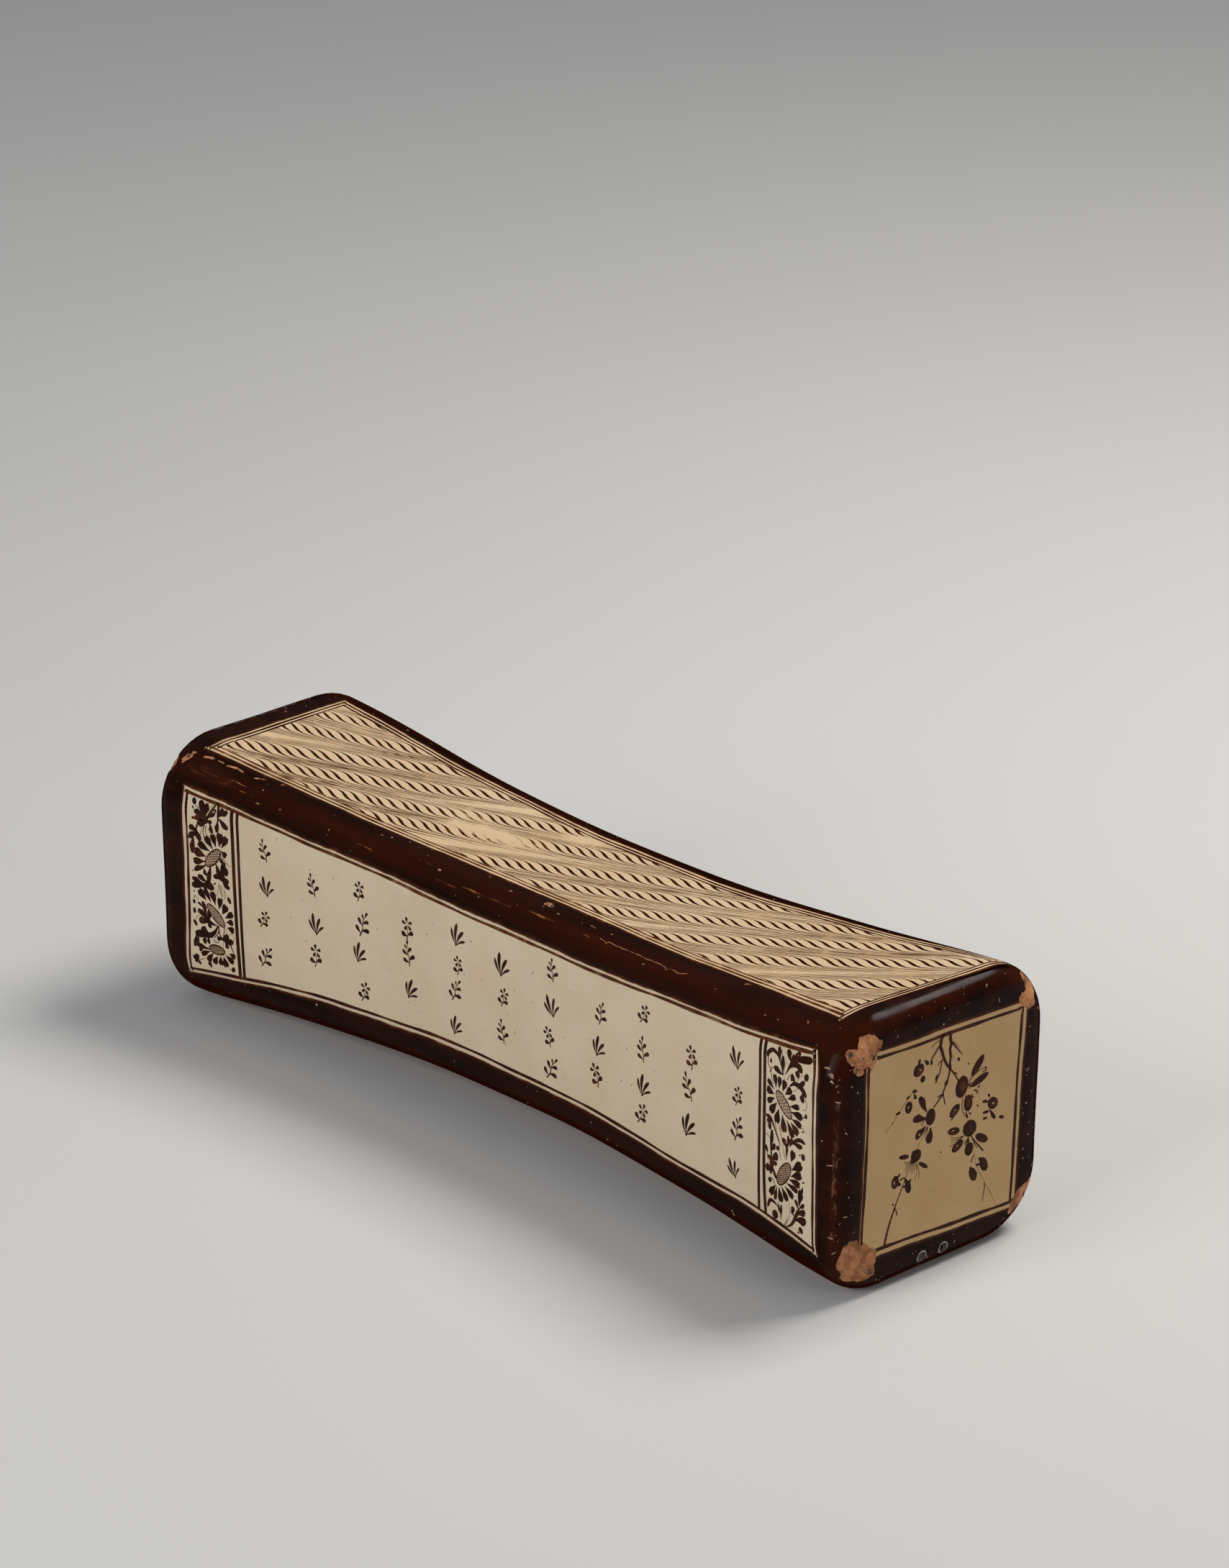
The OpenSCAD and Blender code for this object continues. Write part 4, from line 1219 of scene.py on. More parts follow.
# Stems and tendrils by points, half breadth and darkness
stems = [
    (((-170.6, 101.9), (-173.6, 98.4), (-176, 95)), 0.42, 0.85),
    (((-171.6, 100), (-173.6, 97.4), (-175.4, 95)), 0.22, 0.5),
    (((-173, 102), (-175, 100.6), (-177.8, 100)), 0.22, 0.5),
    (((-172.2, 101.2), (-174, 99.6), (-175.4, 98)), 0.2, 0.5),
    (((-183.6, 97.6), (-181.8, 97), (-180, 97.4)), 0.2, 0.6),
    (((-179.2, 90), (-180.2, 87), (-181.4, 83)), 0.24, 0.5),
    (((-178.4, 90), (-179.2, 86.6), (-178.8, 84)), 0.32, 0.9),
    (((-177.2, 90), (-177.7, 87), (-176.8, 84.4)), 0.28, 0.9),
    (((-182, 90.4), (-182.8, 88), (-184.2, 85)), 0.55, 1),
    (((-170, 79.2), (-167.4, 76.6), (-164.2, 74.1)), 0.26, 0.7),
    (((-171, 64.6), (-171.8, 60.4), (-172.6, 58.4)), 0.22, 0.5),
    (((-170.6, 64.6), (-170, 60.6), (-169, 57)), 0.3, 0.55),
    (((-169.6, 64.4), (-169.2, 61), (-168.6, 59)), 0.24, 0.5),
    (((-168.2, 63), (-167.4, 60.4), (-168, 58)), 0.26, 0.6),
    (((-185.9, 54.2), (-185.2, 55.4), (-183.4, 53.8)), 0.24, 0.6),
    (((-185, 48.2), (-183, 47.4), (-180.6, 46.4)), 0.2, 0.5),
    (((-185.5, 44.2), (-184.6, 46), (-183, 46.6)), 0.22, 0.6),
    (((-172.2, 44.8), (-171.8, 41.2), (-170, 38.6)), 0.42, 0.95),
    (((-172.2, 42), (-173.4, 40), (-175, 38.2)), 0.3, 0.8),
    (((-168.8, 45), (-169, 42.6), (-169.6, 40.4)), 0.3, 0.9),
    (((-168, 45), (-167.6, 43), (-166.8, 41.2)), 0.22, 0.5),
    (((-165.8, 42.4), (-164.2, 42.8), (-163.1, 41), (-164, 39)), 0.2, 0.8),
    (((-175.3, 37.4), (-174.4, 36.4), (-172.4, 36.8)), 0.28, 0.9),
    (((-165.4, 37.2), (-164.6, 35.6), (-163.7, 34.2)), 0.42, 0.95),
    (((-170, 37.6), (-169.8, 36), (-169.8, 34.4)), 0.2, 0.5),
    (((-183.6, 25.6), (-182.2, 26.6), (-180.8, 27.2)), 0.22, 0.6),
    (((-165.4, 25.6), (-166.6, 26.2), (-167.8, 27.6)), 0.2, 0.6),
    (((-168.4, 26.6), (-169, 27.6), (-169.4, 25.8)), 0.26, 0.9),
    (((167, 95.6), (167.1, 92.6), (168.7, 90.6), (169.3, 88), (170.4, 85)), 0.28, 0.9),
    (((168.2, 89.4), (169, 91), (169.8, 92)), 0.26, 0.9),
    (((177.8, 90), (177.8, 95), (178.9, 98.2)), 0.18, 0.42),
    (((175.8, 98.6), (175, 100.4), (174.4, 102)), 0.22, 0.5),
    (((179.4, 90), (180.8, 92.4), (182.6, 93)), 0.26, 0.7),
    (((186, 92.2), (188, 95), (190.6, 96.2)), 0.24, 0.5),
    (((191.4, 86.4), (192.6, 84.4), (191.8, 81.8), (190, 81.3)), 0.24, 0.6),
    (((184, 87), (185.4, 88.2), (187, 89.4)), 0.2, 0.45),
    (((189.6, 73.4), (191, 73), (192.6, 72)), 0.2, 0.55),
    (((189.8, 77.6), (191, 78.2), (192, 79)), 0.3, 0.9),
    (((172.2, 69.4), (173.2, 66), (175.4, 61)), 0.26, 0.6),
    (((174.8, 69.2), (176.2, 64), (178.8, 56.4)), 0.42, 0.36),
    (((176.8, 66.4), (177.6, 61.6), (179.6, 55.2)), 0.46, 0.34),
    (((175.8, 68), (177, 62.6), (179.2, 55.8)), 0.24, 0.5),
    (((173.6, 64.6), (175, 62), (176, 59.8)), 0.36, 0.8),
    (((175.4, 57.6), (176.2, 55.8), (176.9, 54)), 0.24, 0.7),
    (((167.5, 54.2), (168.4, 51.4), (170.2, 49.6)), 0.28, 0.8),
    (((170.4, 44.2), (172, 43.8), (173.3, 42)), 0.3, 0.9),
    (((166.4, 62.2), (167.8, 61.8), (169.4, 60.9)), 0.22, 0.8),
    (((188.2, 60.7), (189.2, 61.4), (190.4, 61.6)), 0.26, 0.85),
    (((180, 26.8), (182.6, 31.8), (183.3, 35.4), (182.2, 38.6)), 0.46, 0.36),
    (((180.2, 26.8), (183.6, 32.6), (184.8, 39)), 0.24, 0.45),
    (((179.9, 27), (181.6, 31.6), (181.2, 36.6)), 0.2, 0.36),
    (((182.4, 26.8), (185.6, 28), (189.4, 28.6)), 0.2, 0.45),
    (((171.6, 47.2), (170.8, 51), (170.2, 55.6)), 0.75, 1),
    (((-170.2, 101), (-170.3, 97), (-170.2, 93.4)), 0.6, 1)
]
# Ruled lines between border and field, by their points from the top down and half breadth
dividers = [
    (((-162.1, 103), (-161.8, 64), (-161.3, 42), (-160.4, 23)), 1.02),
    (((-158.9, 103), (-158.8, 64), (-158.5, 42), (-158, 23)), 0.85),
    (((161.8, 103), (162.1, 64), (162.4, 42), (163.2, 23)), 0.88),
    (((164.8, 103), (165.2, 64), (165.9, 42), (167.8, 24)), 0.98)
]
petal = new_mark("split_petal", split_petal_marks())
dab = new_mark("leaf_lobe", [brush_mark(*lobe(0.10), 1.0, 0.09)])
oval = new_mark("bud", [oval_mark()])
border_marks = painted_frame("front")
for head in heads:
    border_marks += seed_head(*head)
border_marks += [tapered(path, half_width) for path, half_width in long_leaves]
border_marks += [thin_line(path, half_width, darkness) for path, half_width, darkness in stems]
for path, half_width in dividers:
    drawn = smooth(path, 12)[::-1]
    low, high = wall_limits(drawn[0, 0])
    level = np.linspace(low + divider_foot, high - divider_top, 60)
    across = np.interp(level, drawn[:, 1], drawn[:, 0]) + 0.25 * waver(level * MM, half_width) / MM
    border_marks.append(brush_mark(np.column_stack([across, level]), half_width))
border_marks.append(set_out(petal, aimed(petals, petal_fullness), paints["front"]))
border_marks.append(set_out(dab, aimed(leaves, leaf_fullness), paints["front"]))
border_marks.append(set_out(oval, buds, paints["front"]))
lay_on_both("_flower_borders", "front", border_marks)


# Wall sprigs
# Small leafy sprigs, single blossoms and tufts of grass in staggered rows over the long field of each wall.
# Quick marks of a small brush in the same iron brown, among rust flecks where grit in the slip has burnt out.
sprig_size = 10
sprig_columns = 11
field_left, field_right = -144, 147
row_step, sprig_drift = 0.215, 1.4
# Flecks by place, share of the height and heading: their least and most
fleck_count = 22
fleck_least, fleck_most = (-150, 0.08, 20), (155, 0.92, 65)
# One fixed seed for everything that is scattered, here and below
rng = np.random.default_rng(11)


def leafed(stem, half_width, leaves, breadth):
    """A bent stem with dabs for leaves, each by foot, heading and length."""
    stem_ink, leaf_ink, soft = 0.9, 0.98, 0.03
    run = smooth(stem)
    marks = [brush_mark(run, np.linspace(half_width, 0.5 * half_width, len(run)), stem_ink, soft)]
    path, swell = lobe(0.08)
    for x, y, heading, length in leaves:
        leaf = (path * length) @ axes_at(heading) + (x, y)
        marks.append(brush_mark(leaf, breadth * length * swell, leaf_ink, soft))
    return marks


def leafy_sprig():
    """Paired leaves and one at the tip."""
    stem = [(0, -0.5), (0.06, -0.15), (-0.02, 0.2), (0.06, 0.48)]
    pairs = [(0.03, -0.34, 152, 0.40), (0.04, -0.24, 26, 0.44), (0.01, 0.0, 142, 0.38), (0.0, 0.08, 40, 0.38),
             (0.01, 0.28, 126, 0.24), (0.05, 0.40, 76, 0.28)]
    return leafed(stem, 0.035, pairs, 0.46)


def blossom_sprig():
    """Five round petals on a short stem with two leaves."""
    stem = [(-0.08, -0.5), (0.02, -0.25), (0.02, 0.1)]
    headings = [90 + 72 * turn for turn in range(5)]
    ring = [(*(toward(heading, 0.05) + (0.02, 0.2)), heading, 0.25) for heading in headings]
    return leafed(stem, 0.032, ring + [(0.0, -0.3, 158, 0.36), (0.02, -0.26, 20, 0.34)], 0.62)


def grass_sprig():
    """A fan of blades on a short foot."""
    fan = ((0, 128, 0.72), (0.02, 104, 0.95), (0.03, 76, 0.82), (0.04, 48, 0.60))
    blades = [(x, -0.45, heading, length) for x, heading, length in fan]
    return leafed([(0.0, -0.5), (0.02, -0.42), (0.03, -0.36)], 0.04, blades, 0.20)


def sprig_spots():
    """Staggered places over the middle field of a wall, each a little out of true."""
    spots = []
    for column, x in enumerate(np.linspace(field_left, field_right, sprig_columns)):
        low, high = wall_limits(x)
        rows = 4 if column % 2 == 0 else 3
        for row in range(rows):
            y = (low + high) / 2 + (row - (rows - 1) / 2) * row_step * (high - low)
            drift = rng.uniform(-sprig_drift, sprig_drift, 2)
            size = sprig_size * rng.uniform(0.86, 1.10)
            spots.append((x + drift[0], y + drift[1], rng.uniform(-30, 30), size, size))
    return spots


def rust_flecks():
    """Short thin dashes, scattered over the field and all leaning to the right."""
    marks = []
    for x, share, heading in rng.uniform(fleck_least, fleck_most, (fleck_count, 3)):
        low, high = wall_limits(x)
        start = np.array((x, low + share * (high - low)))
        path = [start, start + toward(heading, 0.8), start + toward(heading + 10, rng.uniform(1.2, 2.2))]
        marks.append(brush_mark(path, (0.06, 0.2, 0.06), 0.5, 0.14))
    return marks


field_spots = sprig_spots()
field_marks = rust_flecks()
for number, drawn in enumerate((leafy_sprig, blossom_sprig, grass_sprig)):
    sprig = new_mark("sprig", drawn())
    field_marks.append(set_out(sprig, field_spots[number::3], paints["front"]))
    bpy.data.objects.remove(sprig)
lay_on_both("_sprigs", "front", field_marks)


# Plum sprays
# Two sprays of plum hanging from the top of each end panel: knotted twigs, dark round blossoms, some with a
# pale eye, fans of stamens, buds and narrow leaves. Painted freehand in iron brown.
# Twigs by points, half breadth at both ends and darkness
twigs = [
    (((-2.4, 103), (-3, 100.4), (-3.3, 98), (-2.4, 95.8), (-1.6, 93.4), (-0.6, 91.2), (0.8, 88.8),
      (2.2, 87.2)), 1, 0.6, 0.9),
    (((2.2, 87.2), (3.6, 85.4), (5.4, 83.2), (6.4, 81.6), (7.6, 79.8)), 0.45, 0.36, 0.9),
    (((2.5, 103), (2.2, 100), (2.8, 97.6), (2.2, 95), (2.7, 92), (2.4, 89), (3.1, 86.8)), 0.95, 0.55, 0.9),
    (((2.4, 87.4), (2.2, 84.6), (1.6, 82.6), (0.6, 80.4), (-0.6, 78), (-1.4, 76.2), (-3.4, 74.4),
      (-6, 72.2)), 0.55, 0.42, 0.9),
    (((-4, 98.4), (-6.4, 96), (-8, 94.2), (-8.7, 93)), 0.55, 0.42, 0.66),
    (((-3.8, 100.9), (-6.2, 100.5), (-8.5, 99.2)), 0.34, 0.2, 0.7),
    (((3.4, 97.6), (6, 94.6), (8.4, 91.8), (9.6, 90.2)), 0.45, 0.16, 0.75),
    (((3.8, 98), (5.6, 96.2), (7.6, 94)), 0.42, 0.16, 0.4),
    (((-2, 92.4), (-2.8, 88.8), (-3.4, 86.4), (-4.6, 84.8)), 0.42, 0.45, 0.72),
    (((-2, 91.8), (-3.6, 91.2), (-4.5, 90.3)), 0.35, 0.3, 0.9),
    (((3.6, 92.6), (4, 91.2), (4.5, 90)), 0.22, 0.15, 0.5),
    (((-0.9, 76.8), (-0.1, 74), (0.5, 71.5)), 0.36, 0.3, 0.85),
    (((-1, 76.4), (-2.4, 76.4), (-3.9, 75.9)), 0.4, 0.4, 0.9),
    (((5, 84), (6, 83.6), (6.9, 82.9)), 0.35, 0.25, 0.9),
    (((-18.4, 82.6), (-21.8, 79.6), (-25.4, 76.4), (-29, 72.6), (-32.8, 70)), 0.22, 0.16, 0.5),
    (((-11.4, 61.2), (-13.4, 58.8), (-14.4, 57)), 0.2, 0.16, 0.6),
    (((-19.4, 48.6), (-21, 45), (-23, 41), (-25, 37), (-26.3, 34), (-28.4, 29), (-30, 24),
      (-31, 20)), 0.16, 0.78, 0.75),
    (((-26, 34.8), (-25, 33), (-24.4, 31.1)), 0.3, 0.32, 0.85),
    (((10.5, 72), (10.2, 69), (10.6, 66), (11.8, 63.6), (13.7, 61.3)), 0.32, 0.22, 0.6),
    (((6, 64.8), (5.2, 64), (4.1, 63.3)), 0.42, 0.32, 0.9),
    (((16.2, 52.8), (18.6, 49.6), (21.2, 46.6), (23.7, 43.7)), 0.3, 0.42, 0.95),
    (((17, 51.2), (18.6, 48.6), (20.2, 46.2)), 0.18, 0.2, 0.8),
    (((17.6, 50.4), (18.2, 48.4), (18.4, 47)), 0.14, 0.2, 0.7),
    (((18.4, 45.4), (20.2, 38.4), (23, 33.2), (26, 28), (29.2, 23), (32.5, 17)), 0.13, 0.2, 0.5),
    (((18.3, 43.6), (17.6, 42.2), (17, 40.7)), 0.3, 0.36, 0.9),
    (((25.3, 29.2), (25.5, 26.6), (24.9, 24), (24.7, 20.8)), 0.4, 0.22, 0.75),
    (((13.6, 77.4), (16, 79.4), (20, 80.5), (23, 80.7)), 0.28, 0.2, 0.85),
    (((13.8, 77), (16.6, 79), (19.4, 79.8)), 0.2, 0.12, 0.55),
    (((23.2, 81.1), (23.5, 79.6), (21.6, 79)), 0.42, 0.3, 0.95),
    (((29.4, 60), (30.4, 58.8), (31.2, 57.8)), 0.14, 0.1, 0.4),
    (((14.6, 63), (15, 61.6), (15, 60.2)), 0.16, 0.12, 0.35)
]
# Round blossoms, leaves and buds by place, turn, length and breadth
blossoms = [
    (-15.2, 91.5, 20, 6.2, 5.7), (-15, 95.2, 70, 2.2, 1.5), (-12.7, 86.9, 100, 3.2, 2.9),
    (-17, 82.9, -15, 2.9, 1.6), (-20.5, 81.3, 20, 2.2, 1.2), (-20, 76.8, 95, 5.4, 4.1),
    (-25.9, 76.1, 0, 2.9, 1.3), (-28.8, 72.8, 0, 0.9, 0.6), (-7.4, 68.7, 92, 7.6, 5.5),
    (-14.9, 54, 20, 6.1, 5.8), (-16.9, 56.3, 60, 1.6, 0.8), (-21.8, 55.8, -14, 6, 2.1),
    (-10.6, 48.6, -36, 6.6, 1.9), (-26.3, 46.2, 90, 5.9, 4.2), (-22.6, 46.4, 15, 2.4, 0.9),
    (-18.9, 41.8, 105, 6.2, 3.4), (-27, 36.6, 0, 1.1, 1), (0.8, 81, 60, 2.9, 1.9),
    (-8.1, 92.4, 60, 1.9, 1.4), (-4.8, 85, 70, 2.7, 1.8), (-5.1, 83.3, 60, 1.3, 1),
    (7.4, 89.2, -60, 2.2, 1.3), (13.2, 85.4, -50, 1.5, 0.6), (9.8, 76.4, 82, 9.6, 7.3),
    (18.6, 83, 47, 10.2, 4), (20, 76.3, 16, 10.8, 3.4), (19.8, 73.3, 20, 1.7, 0.9),
    (17.8, 72.3, -10, 2.1, 0.9), (18.9, 71.2, 80, 1.5, 1), (6.2, 67, 38, 6.8, 4.3), (13.8, 68, 97, 7.6, 5),
    (15.1, 63, -45, 1.8, 0.8), (19.4, 65, -60, 1.6, 0.8), (28.2, 63.4, -32, 6.6, 5.1),
    (25.8, 67.5, -50, 2.2, 1.2), (24.3, 60.6, -8, 3.8, 1.4), (24, 58, -10, 2.8, 1.2),
    (33.6, 55.5, -20, 3.3, 1.5), (6.2, 58, -14, 7.2, 3.5), (15.3, 56.4, -35, 8.3, 7.2),
    (8.7, 50.7, 27, 7, 4.3), (15.4, 47.2, 90, 6, 4.9), (22.4, 49.9, -33, 8.6, 3.6), (18.3, 35, 118, 7.2, 4),
    (24.3, 37.6, 118, 7.6, 4.1), (-0.7, 51, 0, 1.1, 0.6), (16.8, 38.2, 120, 1.8, 1.3)
]
# Petals and lobes by foot, tip and breadth
plum_lobes = [
    (-12.4, 94.9, -9.9, 92.2, 1.8), (-17.6, 82, -16.3, 79.2, 1.6), (-9.6, 71.6, -13.4, 79.6, 3.4),
    (-10, 68.9, -17, 71.4, 3.7), (-10, 65.6, -15.8, 62.4, 3.9), (-7.2, 63.8, -8.6, 57.4, 4.3),
    (-25, 46, -23.6, 43.6, 1.7), (-25.4, 47.2, -23.6, 49, 1.2), (-19, 42.6, -17.2, 44.6, 1.3),
    (-19, 42.4, -21.8, 42.9, 1.1), (-19.2, 43, -20.4, 45.8, 1.8), (15.2, 71.7, 16.6, 69.2, 0.9),
    (12.4, 64.8, 13.7, 61.4, 1.1), (26.6, 64.6, 22.2, 66.2, 1.5), (26, 61.4, 29.6, 55.9, 1.9),
    (23.2, 39.4, 21.6, 41.5, 1.6), (23.2, 38.2, 19.8, 38.7, 1.2), (19.4, 35.4, 20.6, 34.2, 1.3),
    (-21.4, 46.8, -20.6, 45.2, 1)
]
# Pale eyes in the blossoms
eyes = [
    (-20.2, 76.9, 90, 1.1, 0.8), (-14.4, 91.4, -40, 1.5, 0.5), (-13.4, 62.8, 0, 1.1, 0.9),
    (-26.8, 46.1, 90, 1.9, 0.6), (28.4, 63.2, 0, 1.1, 0.9), (8.6, 50.9, 20, 1.2, 0.4),
    (6.4, 67.2, 30, 1, 0.5), (5.8, 58.4, -20, 1.4, 0.4)
]
# Fans of stamens by foot, first and last heading, count and length
stamens = [
    ((-16.6, 52.8), 172, 296, 11, 5.2), ((-9.8, 69.2), 148, 228, 6, 3.6), ((-8.8, 65.2), 214, 262, 5, 4.6),
    ((13, 76.2), -60, 10, 8, 2.4), ((12.4, 54.2), 168, 196, 4, 7.8), ((14.8, 52.8), 218, 276, 8, 3.6),
    ((12, 72.2), 250, 292, 4, 3.4), ((-14.2, 50.6), 262, 280, 2, 7.4)
]
# Half breadth along a stamen, to the dot at its tip
stamen_halves = (0.13,) * 8 + (0.26,)
spray_marks = []
for path, start, stop, darkness in twigs:
    run = smooth(path)
    knots = 1 + 0.16 * np.sin(2.3 * np.arange(len(run)) + len(path))
    spray_marks.append(brush_mark(run, np.linspace(start, stop, len(run)) * knots, darkness))
for foot, first, last, count, length in stamens:
    for heading in np.linspace(first, last, count):
        tip = np.array(foot) + toward(heading, length * rng.uniform(0.8, 1.1))
        bend = np.array(foot) + toward(heading + 9, length * 0.55)
        spray_marks.append(brush_mark(smooth([foot, bend, tip], 4), stamen_halves, 0.85))
spray_marks.append(set_out(oval, blossoms, paints["end"]))
spray_marks.append(set_out(dab, aimed(plum_lobes), paints["end"]))
# The larger blossoms have a thinner, browner wash in the middle
large_breadth, wash_rise, eye_rise = 3.9, 0.025, 0.04
wash_aside, wash_long, wash_short = 0.3, 0.56, 0.46
washes = [(x + wash_aside, y - wash_aside, turn, wash_long * long, wash_short * short)
          for x, y, turn, long, short in blossoms if short > large_breadth]
wash = new_mark("wash", [oval_mark(0.78)])
points, ink, faces = set_out(wash, washes, paints["end"])
spray_marks.append((points + (0, 0, wash_rise), np.where(ink > 0, ink, 0.95), faces))
pale_eye = new_mark("pale_eye", [oval_mark(0.0)])
points, ink, faces = set_out(pale_eye, eyes, paints["end"])
spray_marks.append((points + (0, 0, eye_rise), ink, faces))
lay_on_both("_plum_sprays", "end", spray_marks)
for loose_mark in (petal, dab, oval, wash, pale_eye):
    bpy.data.objects.remove(loose_mark)


# Worn edges
# Wear of the glaze on the front top edge: amber streaks where it is rubbed thin, a hairline crack and small
# flakes lost down to the clay, a row of small pale marks in clay colour that are painted highlights, glints
# of light on the glaze, and pale nicks in the borders of the ends. Each lies flat on the glaze.
def worn_glaze_material():
    """The same glaze rubbed thin: amber where the mark is full, lost in the brown at its edge."""
    made, tree, shader, where = new_material("worn_glaze", 0.25, 0.10)
    patches = between(tree, grain(tree, stretched(tree, where, 0.2, 1, 1), 700, 4), 0.34, 0.66)
    worn = calc(tree, "MULTIPLY", calc(tree, "MULTIPLY", carried(tree, "ink"), patches), 0.80)
    brown = use_group(tree, iron_brown, Thickness=calc(tree, "SUBTRACT", 0.84, worn))
    tree.links.new(brown, shader.inputs["Base Color"])
    return made


def flake_mark():
    """A small torn flake."""
    run = np.linspace(-0.5, 0.5, 9)
    half = 0.5 * np.array((0.05, 0.45, 0.35, 0.95, 0.70, 1.0, 0.50, 0.62, 0.05))
    return brush_mark(np.column_stack([run, 0.16 * np.sin(7 * run + 1)]), half, 1.0, 0.02)


edge_lift = 0.035 * MM
# Amber streaks by start, stop, level and half breadth
streaks = [
    (-169, -159, 1.2, 0.35), (-162, -153, -1.6, 0.3), (-92, -76, -1.6, 0.3), (-58, -46, 3.1, 0.35),
    (-44, -30, -1.9, 0.5), (-29, -14, -0.5, 0.6), (-13, 1, -0.4, 0.5), (9, 27, 1.3, 0.6), (44, 50, 1, 0.3)
]
# Flakes by place, level, turn, length and breadth. The small pale ones in a row near level 6 stand for glints
# of light on the glaze: painted highlights in the clay's colour.
flakes_and_glints = [
    (-198, 2.4, 52, 5.6, 3.4), (-196.6, 6, 20, 2.6, 1.6), (-187.5, 6.6, 8, 6.5, 1.5),
    (-180.5, 7, -4, 4, 0.8), (-173, 6.9, 6, 7.5, 1.3), (-168, 6.8, -8, 3, 0.9), (-157, 7, 16, 5.6, 0.9),
    (-145, 9.3, 22, 2.8, 0.8), (-150, -3.4, 0, 2.2, 0.7), (139, 8.9, 24, 4.2, 0.9),
    (17.4, 7.4, -6, 5.2, 2.6), (25.5, 5.1, 0, 1.6, 0.6), (-137.5, -1.9, 0, 1, 0.8),
    (-109, -1.2, 0, 0.9, 0.6), (-83.5, 6.6, 0, 1.1, 0.7), (-55.5, 6.5, 0, 1, 0.6), (-5, 6.4, 10, 1.8, 0.6),
    (46, 6, -8, 3.4, 0.5), (57, 6.2, 0, 1.1, 0.6), (39.5, 5.5, 0, 0.9, 0.5), (181, 3, -50, 1.5, 0.8),
    (126, 1.2, 0, 0.9, 0.5), (158.5, -1, 0, 1.2, 0.5), (166, -0.7, 0, 0.8, 0.5), (-44.5, 2.2, 0, 1.3, 1.1),
    (82.5, -0.6, 0, 1.3, 0.5)
]
# A hairline crack by its points
crack = [
    (53.5, 2.3), (56.8, 2.1), (58, 1.4), (59.2, 2.5), (65, 2.2), (73, 2.4), (82, 2.1), (93.4, 2), (95, 0.8),
    (97, 2), (100, 1.9), (103, 1.6), (107, 2.7)
]
nick_count = 96
# Larger nicks at the top of the front corner, by place, turn, length and breadth
corner_nicks = [
    (-57.2, 100.2, 80, 1.9, 0.9), (-57.6, 97.9, 95, 1.3, 0.7), (-56.9, 96.4, 70, 0.9, 0.5),
    (-57, 102.6, 60, 0.9, 0.5), (-55.8, 99, 20, 0.7, 0.4), (-56.6, 94.2, 100, 0.8, 0.4)
]
# How a streak drifts, by thirds of its run
streak_drift = ((0, 0.0), (1, 0.2), (2, -0.1), (3, 0.1))
streak_marks = []
for start, stop, level, half_width in streaks:
    path = smooth([(((3 - third) * start + third * stop) / 3, level + rise) for third, rise in streak_drift])
    share = np.linspace(0, 1, len(path))
    streak_marks.append(brush_mark(path, 0.8 * half_width * (0.15 + np.sin(math.pi * share)), 1.0, 0.5))
# A broad, thinly worn patch near the left corner
patch_left, patch_right, patch_count = -196, -165, 24
patch = np.column_stack([np.linspace(patch_left, patch_right, patch_count),
                         -0.4 + 0.5 * np.sin(np.arange(patch_count))])
patch_half = 2.4 * np.sin(np.linspace(0.3, 2.9, patch_count)) + 0.2
streak_marks.append(brush_mark(patch, patch_half, 0.42, 1.6))
lay_marks("worn_glaze_streaks", "edge", streak_marks, lift=edge_lift, paint=worn_glaze_material())
flake = new_mark("flake", [flake_mark()])
crack_line = smooth(crack, 8)
crack_line[:, 1] += rng.uniform(-0.16, 0.16, len(crack_line))
flake_and_glint_marks = [set_out(flake, flakes_and_glints, clay), brush_mark(crack_line, 0.12, 1.0, 0.06)]
lay_marks("flaked_glaze", "edge", flake_and_glint_marks, lift=edge_lift, slot="clay", paint=clay)


def border_nicks():
    """Small nicks scattered over the border of an end, round its panel and inside its rim."""
    panel_left, panel_right, panel_foot, panel_top = -47, 44.5, 13, 107
    least, most, rim = (-58.5, 2), (58.5, 118), 1.2 * MM
    spots = list(corner_nicks)
    while len(spots) < nick_count:
        y, z = rng.uniform(least, most)
        on_panel = panel_left < y < panel_right and panel_foot < z < panel_top
        if not on_panel and inside_rim(y * MM, z * MM) > rim:
            length = 0.35 + 1.6 * rng.uniform() ** 4
            spots.append((y, z, rng.uniform(0, 180), length, 0.25 + 0.2 * length))
    return spots


pale_clay = filler_material("nicked_clay", (0.30, 0.17, 0.09, 1), (0.52, 0.38, 0.27, 1))
nicks = [set_out(flake, border_nicks(), pale_clay)]
bpy.data.objects.remove(flake)
lay_on_both("_nicks", "end", nicks, lift=edge_lift, slot="clay", paint=pale_clay)


# Plug rims
# The pale broken rim that the drill left round each sample hole.
# Bruised glaze and filler dust, as a thin uneven ring that lies on the glaze.
rim_radius, rim_half, rim_swell = 0.54 * bore / MM, 0.28, 0.07
broken_rim = filler_material("plug_rim", (0.26, 0.225, 0.19, 1), (0.50, 0.46, 0.40, 1))
turns = np.radians(np.linspace(0, 360, 41))
rim_marks = []
for y in plug_places:
    ring = rim_radius * np.column_stack([np.cos(turns), np.sin(turns)]) + (y / MM, plug_level / MM)
    rim_marks.append(brush_mark(ring, rim_half + rim_swell * np.sin(3 * turns + y / MM), 1.0, 0.1))
lay_marks("plug_rims", "end", rim_marks, lift=edge_lift, slot="filler", paint=broken_rim)


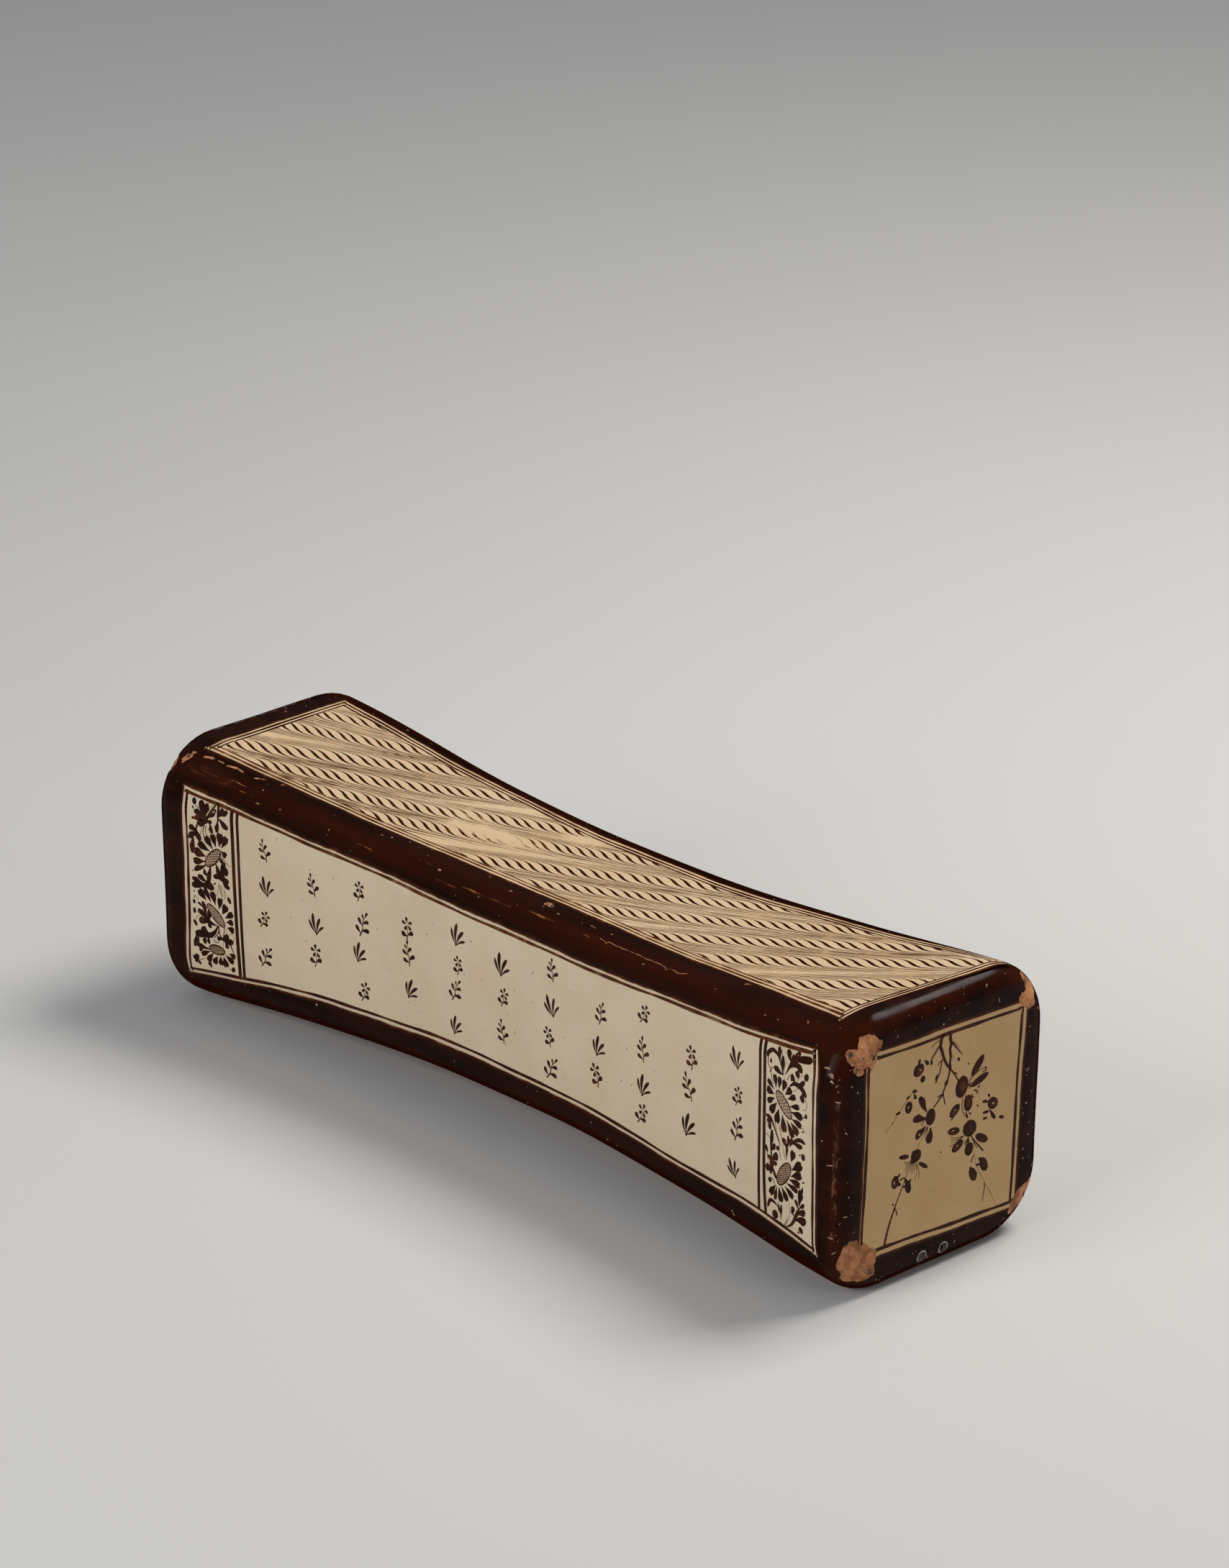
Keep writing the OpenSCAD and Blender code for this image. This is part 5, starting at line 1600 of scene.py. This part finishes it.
# Floor, light and camera
# A plain pale floor, one broad soft light overhead, a cooler one in front and a weak warm one off the end.
# The camera looks down on the front and right end, from as far off as the photograph's.
def floor_material():
    """Pale matt paper."""
    made, tree, shader, where = new_material("pale_floor", 0.9)
    shade = between(tree, grain(tree, where, 2, 2), 0.3, 0.7, 0.0, 0.2)
    colour = blend(tree, shade, (0.62, 0.62, 0.61, 1), (0.58, 0.58, 0.575, 1))
    tree.links.new(colour, shader.inputs["Base Color"])
    return made


def soft_light(name, place, aim, size, power, colour):
    """A square soft box turned towards the pillow."""
    lamp = bpy.data.lights.new(name, "AREA")
    lamp.shape = "SQUARE"
    lamp.size = size
    lamp.energy = power
    lamp.color = colour
    made = put_in_scene(name, lamp)
    made.location = place
    made.rotation_euler = (Vector(aim) - Vector(place)).to_track_quat("-Z", "Y").to_euler()


floor_reach = 12
corners = [(x * floor_reach, y * floor_reach, 0) for x, y in ((-1, -1), (1, -1), (1, 1), (-1, 1))]
floor_mesh = new_mesh("floor", corners, [(0, 1, 2, 3)])
floor_mesh.materials.append(floor_material())
floor = put_in_scene("floor", floor_mesh)

pillow_middle = (0, 0, height / 2)
soft_light("overhead", (0.30, 0.90, 1.5), pillow_middle, 0.75, 24, (1.0, 0.96, 0.90))
soft_light("front", (0.0, -1.9, 0.9), pillow_middle, 1.1, 18.5, (0.97, 0.98, 1.0))
soft_light("right_end", (1.9, 0.4, 0.7), pillow_middle, 0.9, 3.5, (1.0, 0.86, 0.68))

world = bpy.data.worlds.new("studio")
world.use_nodes = True
sky = world.node_tree.nodes["Background"].inputs
sky["Color"].default_value = (0.9, 0.93, 1.0, 1)
sky["Strength"].default_value = 0.25
bpy.context.scene.world = world

image_height = 2180
sensor = 36
focal_pixels = 8716.9
view_distance = 2.6383
view_turn, view_rise = math.radians(46.968), math.radians(22.1115)
view_right, view_up = 0.01298, 0.13516
back = Vector((math.sin(view_turn) * math.cos(view_rise), -math.cos(view_turn) * math.cos(view_rise),
               math.sin(view_rise)))
right = Vector((math.cos(view_turn), math.sin(view_turn), 0))
lens = bpy.data.cameras.new("camera")
lens.sensor_width = sensor
lens.lens = sensor * focal_pixels / image_height
camera = put_in_scene("camera", lens)
camera.location = back * view_distance + right * view_right + back.cross(right) * view_up
camera.rotation_euler = back.to_track_quat("Z", "Y").to_euler()
bpy.context.scene.camera = camera
bpy.context.scene.view_settings.view_transform = "Standard"
